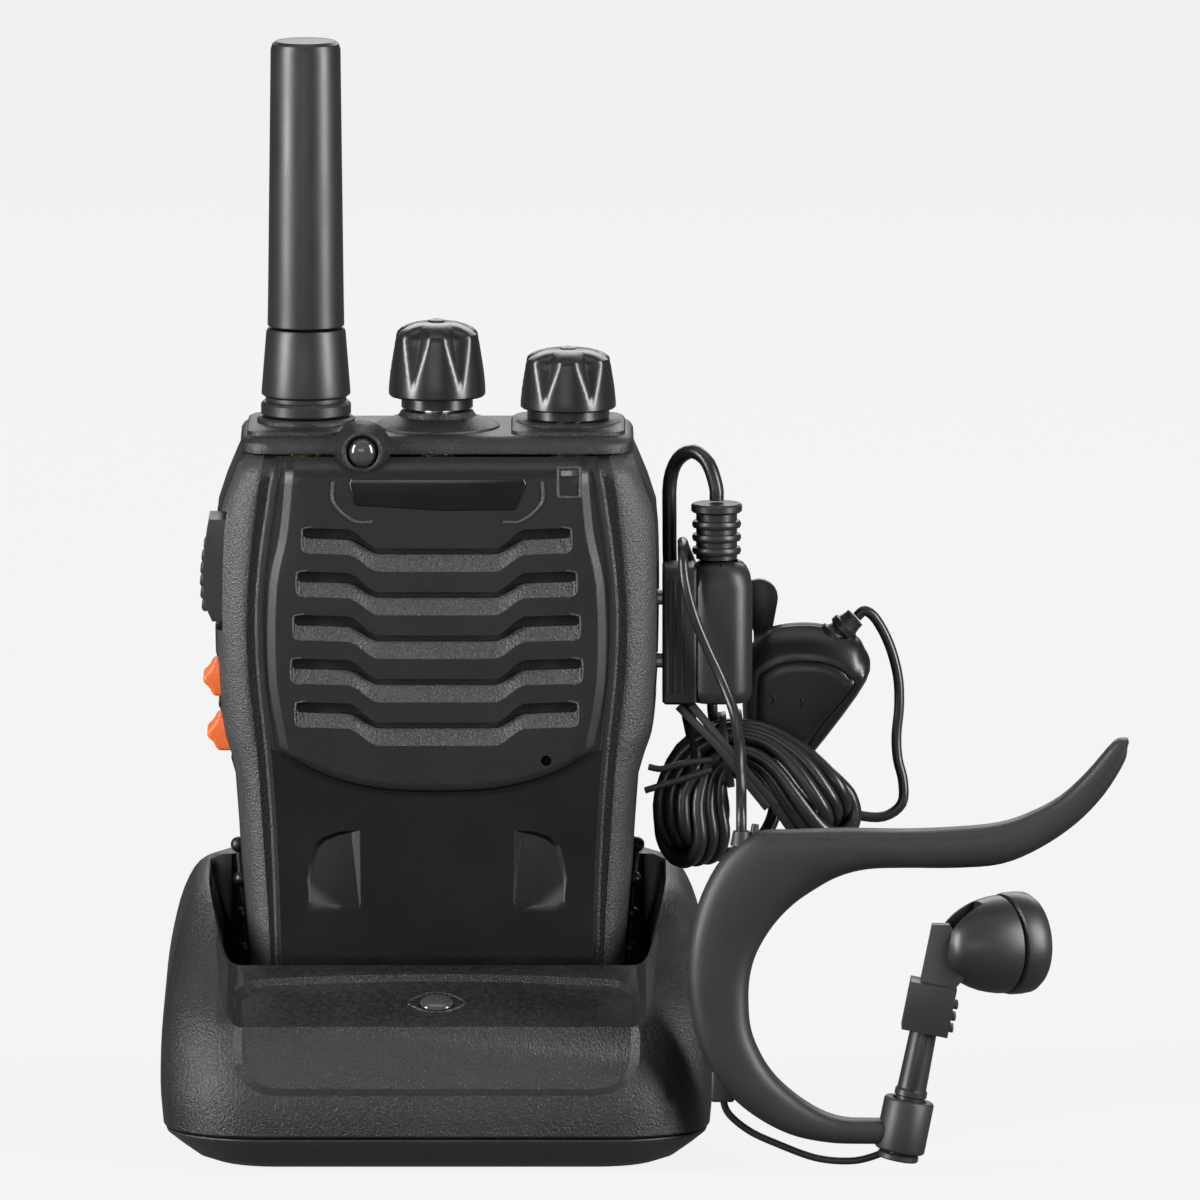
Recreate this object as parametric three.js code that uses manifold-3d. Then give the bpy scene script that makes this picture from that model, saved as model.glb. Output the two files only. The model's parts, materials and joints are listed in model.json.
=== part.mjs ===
// Hand-held two way radio standing in its desk charger, with a wired ear-hook earpiece plugged into its side.
// Millimetres, +Z up, the radio's front faces -Y. The origin is the centre of the charger's flat underside.
import * as THREE from "three";
import { mergeVertices } from "three/addons/utils/BufferGeometryUtils.js";
import Module from "manifold-3d";

const wasm = await Module();
wasm.setup();

// ---------------------------------------------------------------- driving dimensions
const GAP = 0.3; // clearance between touching pieces
const WALL = 1.8; // moulded wall

// charger
const BASE_TOP = 5.3; // parting line of the charger
const DOCK_TOP = 40; // top of the two shoulders
const CREASE = { y: -34.5, z: 22 }; // edge between the front face and the sloping top
const LIP = { y: -18.3, z: 28.6 }; // front edge of the pocket
const POCKET = { halfX: 32.4, front: -18.3, back: 20, floor: 7.6 };
const DOCK_BACK = 39;
const LAMP_Y = -27.5; // charge lamp, on the sloping top

// radio body
const RADIO = { bottom: 8.2, shellTop: 105.2, deckTop: 108.8, front: -16, split: 2 };
const BATTERY = { top: 79, front: 6.3, back: 17 };
const REAR = { back: 15.2 }; // back of the chassis above the battery
const AXIS_Y = 1; // depth of the antenna and both knobs
const ANTENNA_X = -19.8;
const VOLUME_X = 0;
const CHANNEL_X = 19.8;
const ANTENNA = { collarBottom: 110.4, collarTop: 123, top: 166.8, rBottom: 6.7, rTop: 5.25 };
const SLOTS = { count: 5, top: 94.6, pitch: 6.62, halfX: 21.4, drop: 2.9 };
const SPEAKER = { z: 78.6, r: 15.4 };
const TORCH = { x: -11.2, z: 106.2, r: 2.3 };
const MIC_Z = 59.4; // talk hole, below the slots

// keys on the left side: bottom, top, how far they stand out, front and back
const PTT = { z0: 79.8, z1: 95.3, out: -35.9, y0: -10.4, y1: -0.4, travel: 1 };
const SIDE_KEYS = [
  { name: "side_key_upper", z0: 68.2, z1: 73.4, out: -35.3 },
  { name: "side_key_lower", z0: 59.9, z1: 65.1, out: -34.7 },
];
const SIDE_KEY = { y0: -9, y1: -1.6 };

// earpiece
const PLUG = { y: -5, half: 5, z0: 66.9, z1: 88.4, plate0: 33.9, plate1: 38, body1: 47.4, x: 42.2 };
const BOOT_TOP = 97.2;
const MIC = { y0: 4, y1: 13 };
const MIC_SPLIT = 8.6;
const HOOK = { y: -40.2, half: 3.3 };
const STEM = { x: 70.3, z: 7.7, lean: 11.3, r: 2.2, low: -5.3, high: 19.6 }; // along the stem's own axis
const LEAD_R = 1.1; // lead from the plug to the microphone box
const WIRE_R = 0.8; // wire from the microphone box to the ear hook
const BUD_WIRE_R = 0.55; // wire from the ear hook to the earbud

// ---------------------------------------------------------------- solids
const FINISH = {
  shell: [0x1c1d1f, 0.55, 0],
  dark: [0x101113, 0.45, 0],
  rubber: [0x18191a, 0.75, 0],
  orange: [0xf0642a, 0.5, 0],
  metal: [0xb9bcc0, 0.3, 0.9],
  brass: [0xc9a24a, 0.3, 0.9],
  board: [0x1f5a34, 0.5, 0],
  clear: [0xd8dde0, 0.1, 0],
  cell: [0x4a5a6c, 0.5, 0],
};

// A closed geometry as a manifold solid, turned to face out.
function solid(geometry) {
  const bare = geometry.index ? geometry.toNonIndexed() : geometry.clone();
  bare.deleteAttribute("normal");
  bare.deleteAttribute("uv");
  const merged = mergeVertices(bare, 1e-4);
  const triVerts = new Uint32Array(merged.index.array);
  const vertProperties = merged.attributes.position.array;
  const make = () => new wasm.Manifold(new wasm.Mesh({ numProp: 3, vertProperties, triVerts }));
  const made = make();
  if (made.volume() >= 0) return made;
  for (let i = 0; i < triVerts.length; i += 3) {
    [triVerts[i + 1], triVerts[i + 2]] = [triVerts[i + 2], triVerts[i + 1]];
  }
  return make();
}

function geometryOf(body) {
  const mesh = body.getMesh();
  const position = new Float32Array(mesh.numVert * 3);
  for (let i = 0; i < mesh.numVert; i++) {
    for (let k = 0; k < 3; k++) position[3 * i + k] = mesh.vertProperties[i * mesh.numProp + k];
  }
  const geometry = new THREE.BufferGeometry();
  geometry.setAttribute("position", new THREE.BufferAttribute(position, 3));
  geometry.setIndex(new THREE.BufferAttribute(new Uint32Array(mesh.triVerts), 1));
  geometry.computeVertexNormals();
  return geometry;
}

const part = new THREE.Group();

function piece(name, body, finish, into = part) {
  const [color, roughness, metalness] = FINISH[finish];
  const geometry = body.isBufferGeometry ? body : geometryOf(body);
  const mesh = new THREE.Mesh(geometry, new THREE.MeshStandardMaterial({ color, roughness, metalness }));
  mesh.name = name;
  into.add(mesh);
  return mesh;
}

const cut = (body, ...tools) => tools.reduce((left, tool) => left.subtract(tool), body);
const join = (body, ...others) => others.reduce((sum, other) => sum.add(other), body);

// Box from its two corners.
function box(x0, x1, y0, y1, z0, z1) {
  const geometry = new THREE.BoxGeometry(x1 - x0, y1 - y0, z1 - z0);
  geometry.translate((x0 + x1) / 2, (y0 + y1) / 2, (z0 + z1) / 2);
  return solid(geometry);
}

// Cylinder or cone along X, Y or Z, starting at a point.
function rod(axis, x, y, z, length, r0, r1 = r0, sides = 24) {
  const geometry = new THREE.CylinderGeometry(r1, r0, length, sides);
  geometry.translate(0, length / 2, 0);
  if (axis === "x") geometry.rotateZ(-Math.PI / 2);
  if (axis === "z") geometry.rotateX(Math.PI / 2);
  geometry.translate(x, y, z);
  return solid(geometry);
}

// A profile of [radius, height] turned about a vertical axis at (x, y).
function turned(profile, x = 0, y = 0, sides = 28) {
  const geometry = new THREE.LatheGeometry(profile.map(([r, h]) => new THREE.Vector2(r, h)), sides);
  geometry.rotateX(Math.PI / 2);
  geometry.translate(x, y, 0);
  return geometry;
}

function polygon(points) {
  return new THREE.Shape(points.map(([x, y]) => new THREE.Vector2(x, y)));
}

// A shape drawn in X and Z, pushed along Y.
function slabXZ(shape, y0, y1, curveSegments = 8) {
  const geometry = new THREE.ExtrudeGeometry(shape, { depth: y1 - y0, bevelEnabled: false, curveSegments });
  geometry.rotateX(Math.PI / 2);
  geometry.translate(0, y1, 0);
  return solid(geometry);
}

// A shape drawn in Y and Z, pushed along X.
function slabYZ(shape, x0, x1, curveSegments = 8) {
  const geometry = new THREE.ExtrudeGeometry(shape, { depth: x1 - x0, bevelEnabled: false, curveSegments });
  geometry.applyMatrix4(new THREE.Matrix4().set(0, 0, 1, x0, 1, 0, 0, 0, 0, 1, 0, 0, 0, 0, 0, 1));
  return solid(geometry);
}

// Outline of a rectangle with its own front and back corner radii.
function section(halfX, y0, y1, rFront, rBack, steps) {
  const points = [];
  const corner = (cx, cy, r, from) => {
    for (let i = 0; i <= steps; i++) {
      const a = from + (i / steps) * (Math.PI / 2);
      points.push([cx + r * Math.cos(a), cy + r * Math.sin(a)]);
    }
  };
  corner(halfX - rFront, y0 + rFront, rFront, -Math.PI / 2);
  corner(halfX - rBack, y1 - rBack, rBack, 0);
  corner(-halfX + rBack, y1 - rBack, rBack, Math.PI / 2);
  corner(-halfX + rFront, y0 + rFront, rFront, Math.PI);
  return points;
}

// Closed body through level sections: [z, halfX, y0, y1, rFront, rBack], lowest first.
function loft(levels, steps = 4, inset = 0) {
  const rings = levels.map(([z, halfX, y0, y1, rFront, rBack]) => ({
    z,
    points: section(
      halfX - inset,
      y0 + inset,
      y1 - inset,
      Math.max(rFront - inset, 0.3),
      Math.max(rBack - inset, 0.3),
      steps,
    ),
  }));
  const count = rings[0].points.length;
  const position = [];
  const index = [];
  for (const ring of rings) for (const [x, y] of ring.points) position.push(x, y, ring.z);
  for (let k = 0; k + 1 < rings.length; k++) {
    for (let i = 0; i < count; i++) {
      const a = k * count + i;
      const b = k * count + ((i + 1) % count);
      index.push(a, b, b + count, a, b + count, a + count);
    }
  }
  const last = (rings.length - 1) * count;
  for (let i = 1; i + 1 < count; i++) {
    index.push(0, i + 1, i, last, last + i, last + i + 1);
  }
  const geometry = new THREE.BufferGeometry();
  geometry.setAttribute("position", new THREE.Float32BufferAttribute(position, 3));
  geometry.setIndex(index);
  return solid(geometry);
}

// Round tube along a smooth curve through points, closed at both ends.
function tube(points, radius, steps, sides = 8) {
  const curve = new THREE.CatmullRomCurve3(points.map((p) => new THREE.Vector3(...p)), false, "centripetal");
  const ring = new THREE.Shape();
  for (let i = 0; i < sides; i++) {
    const a = (2 * Math.PI * i) / sides;
    if (i === 0) ring.moveTo(radius, 0);
    else ring.lineTo(radius * Math.cos(a), radius * Math.sin(a));
  }
  ring.closePath();
  return solid(new THREE.ExtrudeGeometry(ring, { steps, extrudePath: curve, bevelEnabled: false }));
}

// Value of a piecewise straight profile [[at, value], ...].
function along(profile, at) {
  const next = profile.findIndex(([z]) => z >= at);
  if (next <= 0) return profile[next === 0 ? 0 : profile.length - 1][1];
  const [z0, v0] = profile[next - 1];
  const [z1, v1] = profile[next];
  return v0 + ((v1 - v0) * (at - z0)) / (z1 - z0);
}

// ---------------------------------------------------------------- charger
function charger() {
  const shellLevels = [
    [BASE_TOP + GAP, 41.1, -40.1, DOCK_BACK, 14, 12],
    [12, 41.6, -39.4, DOCK_BACK, 14, 12],
    [CREASE.z, 41.2, CREASE.y, DOCK_BACK, 13, 12],
    [30, 39.8, -24.5, 38.4, 12, 12],
    [35, 38.2, -17, 36.6, 11, 11],
    [38.4, 36, -11, 34, 10, 10],
    [DOCK_TOP, 32.8, -6, 30, 9, 9],
  ];
  const slope = (LIP.z - CREASE.z) / (LIP.y - CREASE.y);
  const valley = (drop, margin) =>
    slabYZ(
      polygon([
        [-60, CREASE.z + slope * (-60 - CREASE.y) - drop],
        [LIP.y + margin, LIP.z + slope * margin - drop],
        [LIP.y + margin, 60],
        [-60, 60],
      ]),
      -POCKET.halfX - margin,
      POCKET.halfX + margin,
    );
  const pocket = (grow) =>
    loft(
      [
        [POCKET.floor - grow, POCKET.halfX - 2.6 + grow, POCKET.front - grow, POCKET.back + grow, 5, 4],
        [60, POCKET.halfX + grow, POCKET.front - grow, POCKET.back + grow, 5, 4],
      ],
      3,
    );
  const outer = loft(shellLevels, 5);
  const hollowLevels = shellLevels.map(([z, ...rest]) => [z - (z > 6 ? WALL : 1), ...rest]);
  const hollow = cut(loft(hollowLevels, 5, WALL), valley(WALL, WALL), pocket(WALL));
  const lampHole = rod("z", 0, LAMP_Y, 10, 30, 2.5 + GAP, 2.5 + GAP, 20);
  const inletHole = box(-5.2, 5.2, 30, 50, 9.2, 20.3);
  const contactSlots = [-1, 1].map((side) => box(side * 9 - 2, side * 9 + 2, 5, 9.5, 0, 20));
  const openTop = cut(outer, hollow, valley(0, 0), pocket(0));
  piece("charger_top_shell", cut(openTop, lampHole, inletHole, ...contactSlots), "shell");

  const baseLevels = [
    [0, 33.6, -32.4, 32.4, 9, 9],
    [1.1, 35.8, -34.8, 34.6, 10, 10],
    [BASE_TOP, 40.9, -39.9, DOCK_BACK - 0.2, 14, 12],
  ];
  const footRecess = (side) => box(side * 27 - 3.3, side * 27 + 3.3, -20.3, 20.3, -1, 1);
  const baseHollow = loft([[2, 33.4, -32.4, 32.2, 8, 8], [8, 39, -38, 37, 12, 10]], 5);
  piece("charger_base_shell", cut(loft(baseLevels, 5), baseHollow, footRecess(-1), footRecess(1)), "shell");
  for (const [name, side] of [["foot_strip_left", -1], ["foot_strip_right", 1]]) {
    piece(name, box(side * 27 - 3, side * 27 + 3, -20, 20, 0, 1 - GAP), "rubber");
  }

  piece("charger_board", box(-25, 25, 23, 35.5, 7.6, 9.2), "board");
  piece("dc_inlet", cut(box(-4.9, 4.9, 27, 38.8, 9.5, 20), rod("y", 0, 29, 15, 20, 3.1)), "dark");
  const lamp = join(rod("z", 0, LAMP_Y, 20, 5.4, 2.5, 2.5, 20), rod("z", 0, LAMP_Y, 19, 1, 3.4, 3.4, 20));
  piece("charge_lamp", lamp, "clear");
  for (const [name, side] of [["charge_contact_left", -1], ["charge_contact_right", 1]]) {
    const [x0, x1] = [side * 9 - 1.6, side * 9 + 1.6];
    piece(name, join(box(x0, x1, 5.4, 9.1, 3, 7.9), box(x0, x1, 5.4, 20, 2.3, 3.2)), "brass");
  }
}

// ---------------------------------------------------------------- radio body
const HALF_WIDTH = [
  [RADIO.bottom, 27.6],
  [30, 28.6],
  [45, 29.7],
  [56, 30.4],
  [59, 31.2],
  [63, 32.5],
  [70, 33.2],
  [80, 33.5],
  [90, 33.5],
  [96, 33.1],
  [100, 31.8],
  [102.4, 30.8],
  [103.6, 30.3],
  [RADIO.shellTop, 29.6],
  [RADIO.deckTop, 28.9],
];
const FRONT_FACE = [
  [RADIO.bottom, -14.2],
  [12, -15.4],
  [30, RADIO.front],
  [102.4, RADIO.front],
  [103.6, -15.4],
  [RADIO.shellTop, -13],
];
const halfWidth = (z) => along(HALF_WIDTH, z);
const BODY_HEIGHTS = HALF_WIDTH.map(([z]) => z).filter((z) => z <= RADIO.shellTop);

// Body levels between two heights, from one depth to another.
function bodyLevels(z0, z1, y0, y1, rFront, rBack, narrower = 0) {
  const heights = [z0, ...BODY_HEIGHTS.filter((z) => z > z0 + 1 && z < z1 - 1), z1];
  return heights.map((z) => {
    const front = typeof y0 === "function" ? y0(z) : y0;
    return [z, halfWidth(z) - narrower, front, y1, rFront, rBack];
  });
}

// One speaker slot: level ends and a lower middle, open over its upper part.
function slotShape(top, height) {
  const { halfX, drop } = SLOTS;
  const right = [[halfX, top], [13, top - 0.2], [9.8, top - drop]];
  const left = right.map(([x, z]) => [-x, z]).reverse();
  const upper = [...right, ...left];
  const lower = upper.map(([x, z]) => [x, z - height]).reverse();
  return polygon([...upper, ...lower]);
}

function radioBody() {
  const frontFace = (z) => along(FRONT_FACE, z);
  const shell = loft(bodyLevels(RADIO.bottom, RADIO.shellTop, frontFace, RADIO.split, 7, 0.4));
  const innerFace = (z) => frontFace(z) + WALL;
  const inside = loft(
    bodyLevels(RADIO.bottom + WALL, RADIO.shellTop + 1, innerFace, RADIO.split + 5, 5.6, 0.4, WALL),
  );
  const slots = [];
  for (let i = 0; i < SLOTS.count; i++) {
    slots.push(slabXZ(slotShape(SLOTS.top - i * SLOTS.pitch, 2.2), -20, -12));
  }
  const keyHole = ({ z0, z1 }, y0, y1) => box(-45, -28, y0 - GAP, y1 + GAP, z0 - GAP, z1 + GAP);
  const keyHoles = [
    keyHole(PTT, PTT.y0, PTT.y1),
    ...SIDE_KEYS.map((key) => keyHole(key, SIDE_KEY.y0, SIDE_KEY.y1)),
  ];
  const socketHole = box(28, 45, -9.3, -0.7, 68.7, 87.3);
  const micHole = rod("y", 16.5, -20, MIC_Z, 8, 0.8, 0.8, 10);
  const lampHole = box(18, 21.8, -20, -11, 99, 104.4);
  const torchHole = rod("y", TORCH.x, -20, TORCH.z, 10, TORCH.r + GAP, TORCH.r + GAP, 16);
  const plateSeat = box(-13.9, 13.9, -20, -15.1, 97, 102.9);
  piece(
    "front_shell",
    cut(shell, inside, ...slots, ...keyHoles, socketHole, micHole, lampHole, torchHole, plateSeat),
    "shell",
  );

  const seam = RADIO.split + GAP;
  const lower = loft(bodyLevels(RADIO.bottom, BATTERY.top + 2, seam, BATTERY.front - GAP, 0.4, 0.6));
  const upper = loft(bodyLevels(BATTERY.top + GAP, RADIO.shellTop, seam, REAR.back, 0.4, 6));
  const lowerRoom = box(-24, 24, -1, BATTERY.front - GAP - 1.4, RADIO.bottom + 3, BATTERY.top + 4);
  const upperRoom = box(-26.5, 26.5, -1, REAR.back - WALL, BATTERY.top + GAP + 1.6, RADIO.shellTop + 5);
  const latchSeat = box(-9.3, 9.3, REAR.back - 1.2, 30, 79, 87.3);
  const screwHoles = [-1, 1].map((side) => rod("y", side * 4, 12, 91.2, 10, 1 + GAP, 1 + GAP, 14));
  piece("rear_chassis", cut(join(lower, upper), lowerRoom, upperRoom, latchSeat, ...screwHoles), "shell");

  const deck = loft(
    [
      [RADIO.shellTop + GAP, 29.7, -12.2, 14.4, 5, 5],
      [RADIO.deckTop - 1, 29.2, -11.2, 13.6, 5, 5],
      [RADIO.deckTop, 28.4, -10.2, 12.8, 4.6, 4.6],
    ],
    4,
  );
  const deckUnder = box(-26, 26, -9.5, 11.5, 100, RADIO.deckTop - WALL);
  const volumeBoss = turned([[0, 107], [8, 107], [7.9, 108.7], [5.4, 110.6], [0, 110.6]], VOLUME_X, AXIS_Y);
  const antennaBoss = turned([[0, 107], [7.4, 107], [7.2, 109.6], [0, 109.6]], ANTENNA_X, AXIS_Y);
  const channelBoss = turned([[0, 107], [8, 107], [7.8, 109.2], [0, 109.2]], CHANNEL_X, AXIS_Y);
  const shaftHoles = [
    rod("z", ANTENNA_X, AXIS_Y, 100, 20, 3.6),
    rod("z", VOLUME_X, AXIS_Y, 100, 20, 3.6),
    rod("z", CHANNEL_X, AXIS_Y, 100, 20, 3.6),
  ];
  const bosses = [volumeBoss, antennaBoss, channelBoss].map(solid);
  piece("top_deck", cut(join(cut(deck, deckUnder), ...bosses), ...shaftHoles, torchHole), "shell");

  piece("name_plate", box(-13.6, 13.6, -16.2, -15.4, 97.3, 102.6), "dark");
  piece("status_lamp", box(18.3, 21.5, -15.9, -12.8, 99.3, 104.1), "clear");
  const lens = join(
    rod("y", TORCH.x, -14.6, TORCH.z, 4, TORCH.r, TORCH.r, 16),
    rod("y", TORCH.x, -15.6, TORCH.z, 1.1, 1, TORCH.r - 0.1, 16),
  );
  piece("torch_lens", lens, "clear");
}

function radioInside() {
  piece("grille_cloth", box(-23, 23, -14, -13.5, 62.5, 96.4), "dark");
  const cone = [[0, 0], [SPEAKER.r, 0], [SPEAKER.r, 2.4], [11, 3.6], [9, 7.6], [0, 7.6]];
  const speaker = turned(cone, 0, 0, 32);
  speaker.rotateX(-Math.PI / 2);
  speaker.rotateZ(Math.PI);
  speaker.translate(0, 0, SPEAKER.z);
  const driver = solid(speaker);
  const bounds = driver.boundingBox();
  piece("speaker", driver.translate(0, -13.1 - bounds.min[1], 0), "metal");
  piece("main_board", box(-25, 25, -1.4, 0, 14, 90), "board");
  piece("microphone", rod("y", 16.5, -13.8, MIC_Z, 2.4, 2.5, 2.5, 16), "metal");
  const antennaSocket = [[0, 99], [5.5, 99], [5.5, 103.4], [3.1, 103.4], [3.1, 112.4], [0, 112.4]];
  piece("antenna_socket", turned(antennaSocket, ANTENNA_X, AXIS_Y, 24), "brass");
  const pot = (x, top) => {
    const can = box(x - 5.8, x + 5.8, AXIS_Y - 5.8, AXIS_Y + 5.8, 93, 101.4);
    return join(can, rod("z", x, AXIS_Y, 101, top - 101, 3, 3, 20));
  };
  piece("volume_pot", pot(VOLUME_X, 119), "metal");
  piece("channel_switch", pot(CHANNEL_X, 116), "metal");
  const socket = box(21.5, 33, -8.9, -1.8, 69.1, 86.9);
  piece(
    "accessory_socket",
    cut(socket, rod("x", 22, PLUG.y, 73.2, 20, 2.1, 2.1, 16), rod("x", 22, PLUG.y, 82.8, 20, 1.6, 1.6, 16)),
    "dark",
  );
}

// ---------------------------------------------------------------- battery pack, latch and belt clip
function battery() {
  const levels = bodyLevels(RADIO.bottom, BATTERY.top, 8.3, BATTERY.back, 0.4, 5.5, 0.6);
  const room = loft(
    bodyLevels(RADIO.bottom + WALL, BATTERY.top - WALL, 5, BATTERY.back - WALL, 0.4, 4, WALL + 0.6),
  );
  const beads = [];
  for (const side of [-1, 1]) {
    for (let i = 0; i < 5; i++) {
      const z = 22 + i * 5.3;
      const bead = new THREE.IcosahedronGeometry(1.25, 1);
      bead.translate(side * (halfWidth(z) - 0.7), 11, z);
      beads.push(solid(bead));
    }
  }
  piece("battery_case", join(cut(loft(levels), room), ...beads), "shell");
  const coverLevels = bodyLevels(RADIO.bottom, BATTERY.top, BATTERY.front, 8, 0.4, 0.4, 0.6);
  piece("battery_inner_cover", loft(coverLevels), "dark");
  piece("battery_cell", box(-22, 22, 8.8, 14.4, 14, 74), "cell");
  const grips = [-1, 0, 1].map((i) => box(-6, 6, 16.4, 17.1, 82.2 + i * 1.2, 82.8 + i * 1.2));
  piece("battery_latch", join(box(-9, 9, REAR.back - 0.9, 16.6, 79.4, 84.6), ...grips), "dark");
}

const CLIP = { y: 20.4, z: 98.4, pinR: 1.2, top: 105.5, bottom: 45 };

function beltClip() {
  const ears = [-1, 1].map((side) => {
    const x0 = side > 0 ? 6.2 : -8;
    const cheek = box(x0, x0 + 1.8, 17, CLIP.y, CLIP.z - 2.6, CLIP.z + 2.6);
    return join(cheek, rod("x", x0, CLIP.y, CLIP.z, 1.8, 2.6, 2.6, 20));
  });
  const plate = box(-9.5, 9.5, REAR.back + GAP, 17.2, 87.6, 103.8);
  const holes = [-1, 1].map((side) => rod("y", side * 4, 10, 91.2, 10, 1.3, 1.3, 14));
  const pinBore = rod("x", -20, CLIP.y, CLIP.z, 40, CLIP.pinR + GAP, CLIP.pinR + GAP, 20);
  piece("clip_bracket", cut(join(plate, ...ears), ...holes, pinBore), "shell");
  for (const [name, side] of [["clip_screw_left", -1], ["clip_screw_right", 1]]) {
    const shank = rod("y", side * 4, 13.8, 91.2, 3.8, 1, 1, 12);
    const head = rod("y", side * 4, 17.5, 91.2, 0.8, 2.1, 2.1, 16);
    piece(name, join(shank, head), "metal");
  }
  piece("clip_pin", rod("x", -8.4, CLIP.y, CLIP.z, 16.8, CLIP.pinR, CLIP.pinR, 16), "metal");
  const springBore = CLIP.pinR + GAP + 0.1;
  const spring = [[springBore, -2.6], [2.2, -2.6], [2.2, 2.6], [springBore, 2.6], [springBore, -2.6]];
  const coil = turned(spring, 0, 0, 20);
  coil.rotateY(Math.PI / 2);
  coil.translate(0, CLIP.y, CLIP.z);
  piece("clip_spring", coil, "metal");

  // The tongue: a thumb lever above the pin, a long blade below it with a turned-in toe.
  const blade = polygon([
    [CLIP.y + 2.6, CLIP.top],
    [CLIP.y + 0.6, CLIP.top],
    [CLIP.y + 0.6, CLIP.z - 4],
    [CLIP.y + 1.4, CLIP.z - 12],
    [CLIP.y + 1.4, CLIP.bottom + 8],
    [CLIP.y - 1.4, CLIP.bottom + 4],
    [CLIP.y - 1.2, CLIP.bottom + 2.4],
    [CLIP.y + 1.8, CLIP.bottom],
    [CLIP.y + 3.2, CLIP.bottom + 8],
    [CLIP.y + 3.4, CLIP.z - 12],
  ]);
  const knuckles = [-1, 1].map((side) => rod("x", side > 0 ? 3 : -5.8, CLIP.y, CLIP.z, 2.8, 2.5, 2.5, 20));
  const springRoom = rod("x", -2.9, CLIP.y, CLIP.z, 5.8, 2.6, 2.6, 20);
  const earRoom = [-8.3, 5.9].map((x0) => box(x0, x0 + 2.4, 10, CLIP.y + 2.9, CLIP.z - 3, CLIP.z + 3));
  const tongue = cut(join(slabYZ(blade, -8, 8), ...knuckles), springRoom, ...earRoom, pinBore);
  piece("belt_clip", tongue, "shell");
}

// ---------------------------------------------------------------- antenna, knobs and keys
function antenna() {
  const { collarBottom, collarTop, top, rBottom, rTop } = ANTENNA;
  const collar = [
    [3.6, collarBottom], [6.5, collarBottom], [6.5, collarBottom + 1.6], [6.1, collarBottom + 2], [6.1, collarBottom + 2.4],
    [rBottom, collarBottom + 2.8], [5.95, collarTop], [3.6, collarTop], [3.6, collarBottom],
  ];
  piece("antenna_collar", turned(collar, ANTENNA_X, AXIS_Y, 28), "dark");
  const whip = [
    [0, collarBottom + 3.4], [3.2, collarBottom + 3.4], [3.2, collarTop + GAP], [5.75, collarTop + GAP],
    [5.4, collarTop + 16], [rTop, collarTop + 30], [rTop, top - 0.8], [rTop - 0.7, top], [0, top],
  ];
  piece("antenna_whip", turned(whip, ANTENNA_X, AXIS_Y, 28), "rubber");
}

// A grip knob: a tapered body with eight V-shaped flutes, on a stepped neck.
function knob(name, x, bottom, top, rBottom, rTop, neck) {
  const body = solid(
    turned(
      [
        [0, bottom], [neck, bottom], [neck, bottom + 1.1], [rBottom - 0.5, bottom + 1.8], [rBottom, bottom + 2.6],
        [rTop, top - 2.2], [rTop - 0.9, top - 0.9], [rTop - 2.2, top - 0.2], [0, top],
      ],
      x,
      AXIS_Y,
      32,
    ),
  );
  const flutes = [];
  for (let i = 0; i < 8; i++) {
    const flute = new THREE.CylinderGeometry(1.5, 0.05, top - bottom - 3.4, 8);
    flute.rotateX(Math.PI / 2);
    flute.translate(0, 0, (top - bottom - 3.4) / 2);
    flute.rotateY(0.06);
    flute.translate(rTop + 0.7, 0, bottom + 3.6);
    flute.rotateZ(((i + 0.5) * Math.PI) / 4);
    flute.translate(x, AXIS_Y, 0);
    flutes.push(solid(flute));
  }
  const bore = rod("z", x, AXIS_Y, bottom - 1, top - bottom - 1.4, 3 + GAP, 3 + GAP, 20);
  piece(name, cut(body, ...flutes, bore), "dark");
}

function keys() {
  // Each key is a pad that fits its window, with a flange behind the wall.
  const flange = ({ z0, z1 }, y0, y1, x0, x1) => box(x0, x1, y0 - 0.8, y1 + 0.8, z0 - 1, z1 + 1);
  const { z0, z1, out, y0, y1 } = PTT;
  const face = new THREE.Shape();
  face.moveTo(-30, z0);
  face.lineTo(out + 2, z0);
  face.quadraticCurveTo(out - 0.6, (z0 + z1) / 2 - 3, out + 1.6, z1);
  face.lineTo(-30, z1);
  const pad = slabXZ(face, y0, y1, 8);
  const ribs = [];
  for (let i = 0; i < 7; i++) {
    const z = z0 + 2 + i * 1.85;
    const t = (z - (z0 + z1) / 2 + 2) / 8;
    ribs.push(rod("y", out + 0.75 + 1.2 * t * t, y0 + 1, z, y1 - y0 - 2, 0.62, 0.62, 8));
  }
  piece("ptt_key", join(pad, ...ribs, flange(PTT, y0, y1, -30.1, -29.1)), "rubber");
  for (const key of SIDE_KEYS) {
    const middle = (key.z0 + key.z1) / 2;
    const inner = halfWidth(key.z0 - 1) - WALL - 0.8;
    const shape = polygon([
      [-inner + 0.5, key.z0], [key.out + 1.6, key.z0], [key.out + 0.9, middle - 1.2], [key.out, middle - 0.5],
      [key.out, middle + 0.5], [key.out + 0.9, middle + 1.2], [key.out + 1.6, key.z1], [-inner + 0.5, key.z1],
    ]);
    const sidePad = slabXZ(shape, SIDE_KEY.y0, SIDE_KEY.y1);
    piece(key.name, join(sidePad, flange(key, SIDE_KEY.y0, SIDE_KEY.y1, -inner, -inner + 1)), "orange");
  }
}

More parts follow.
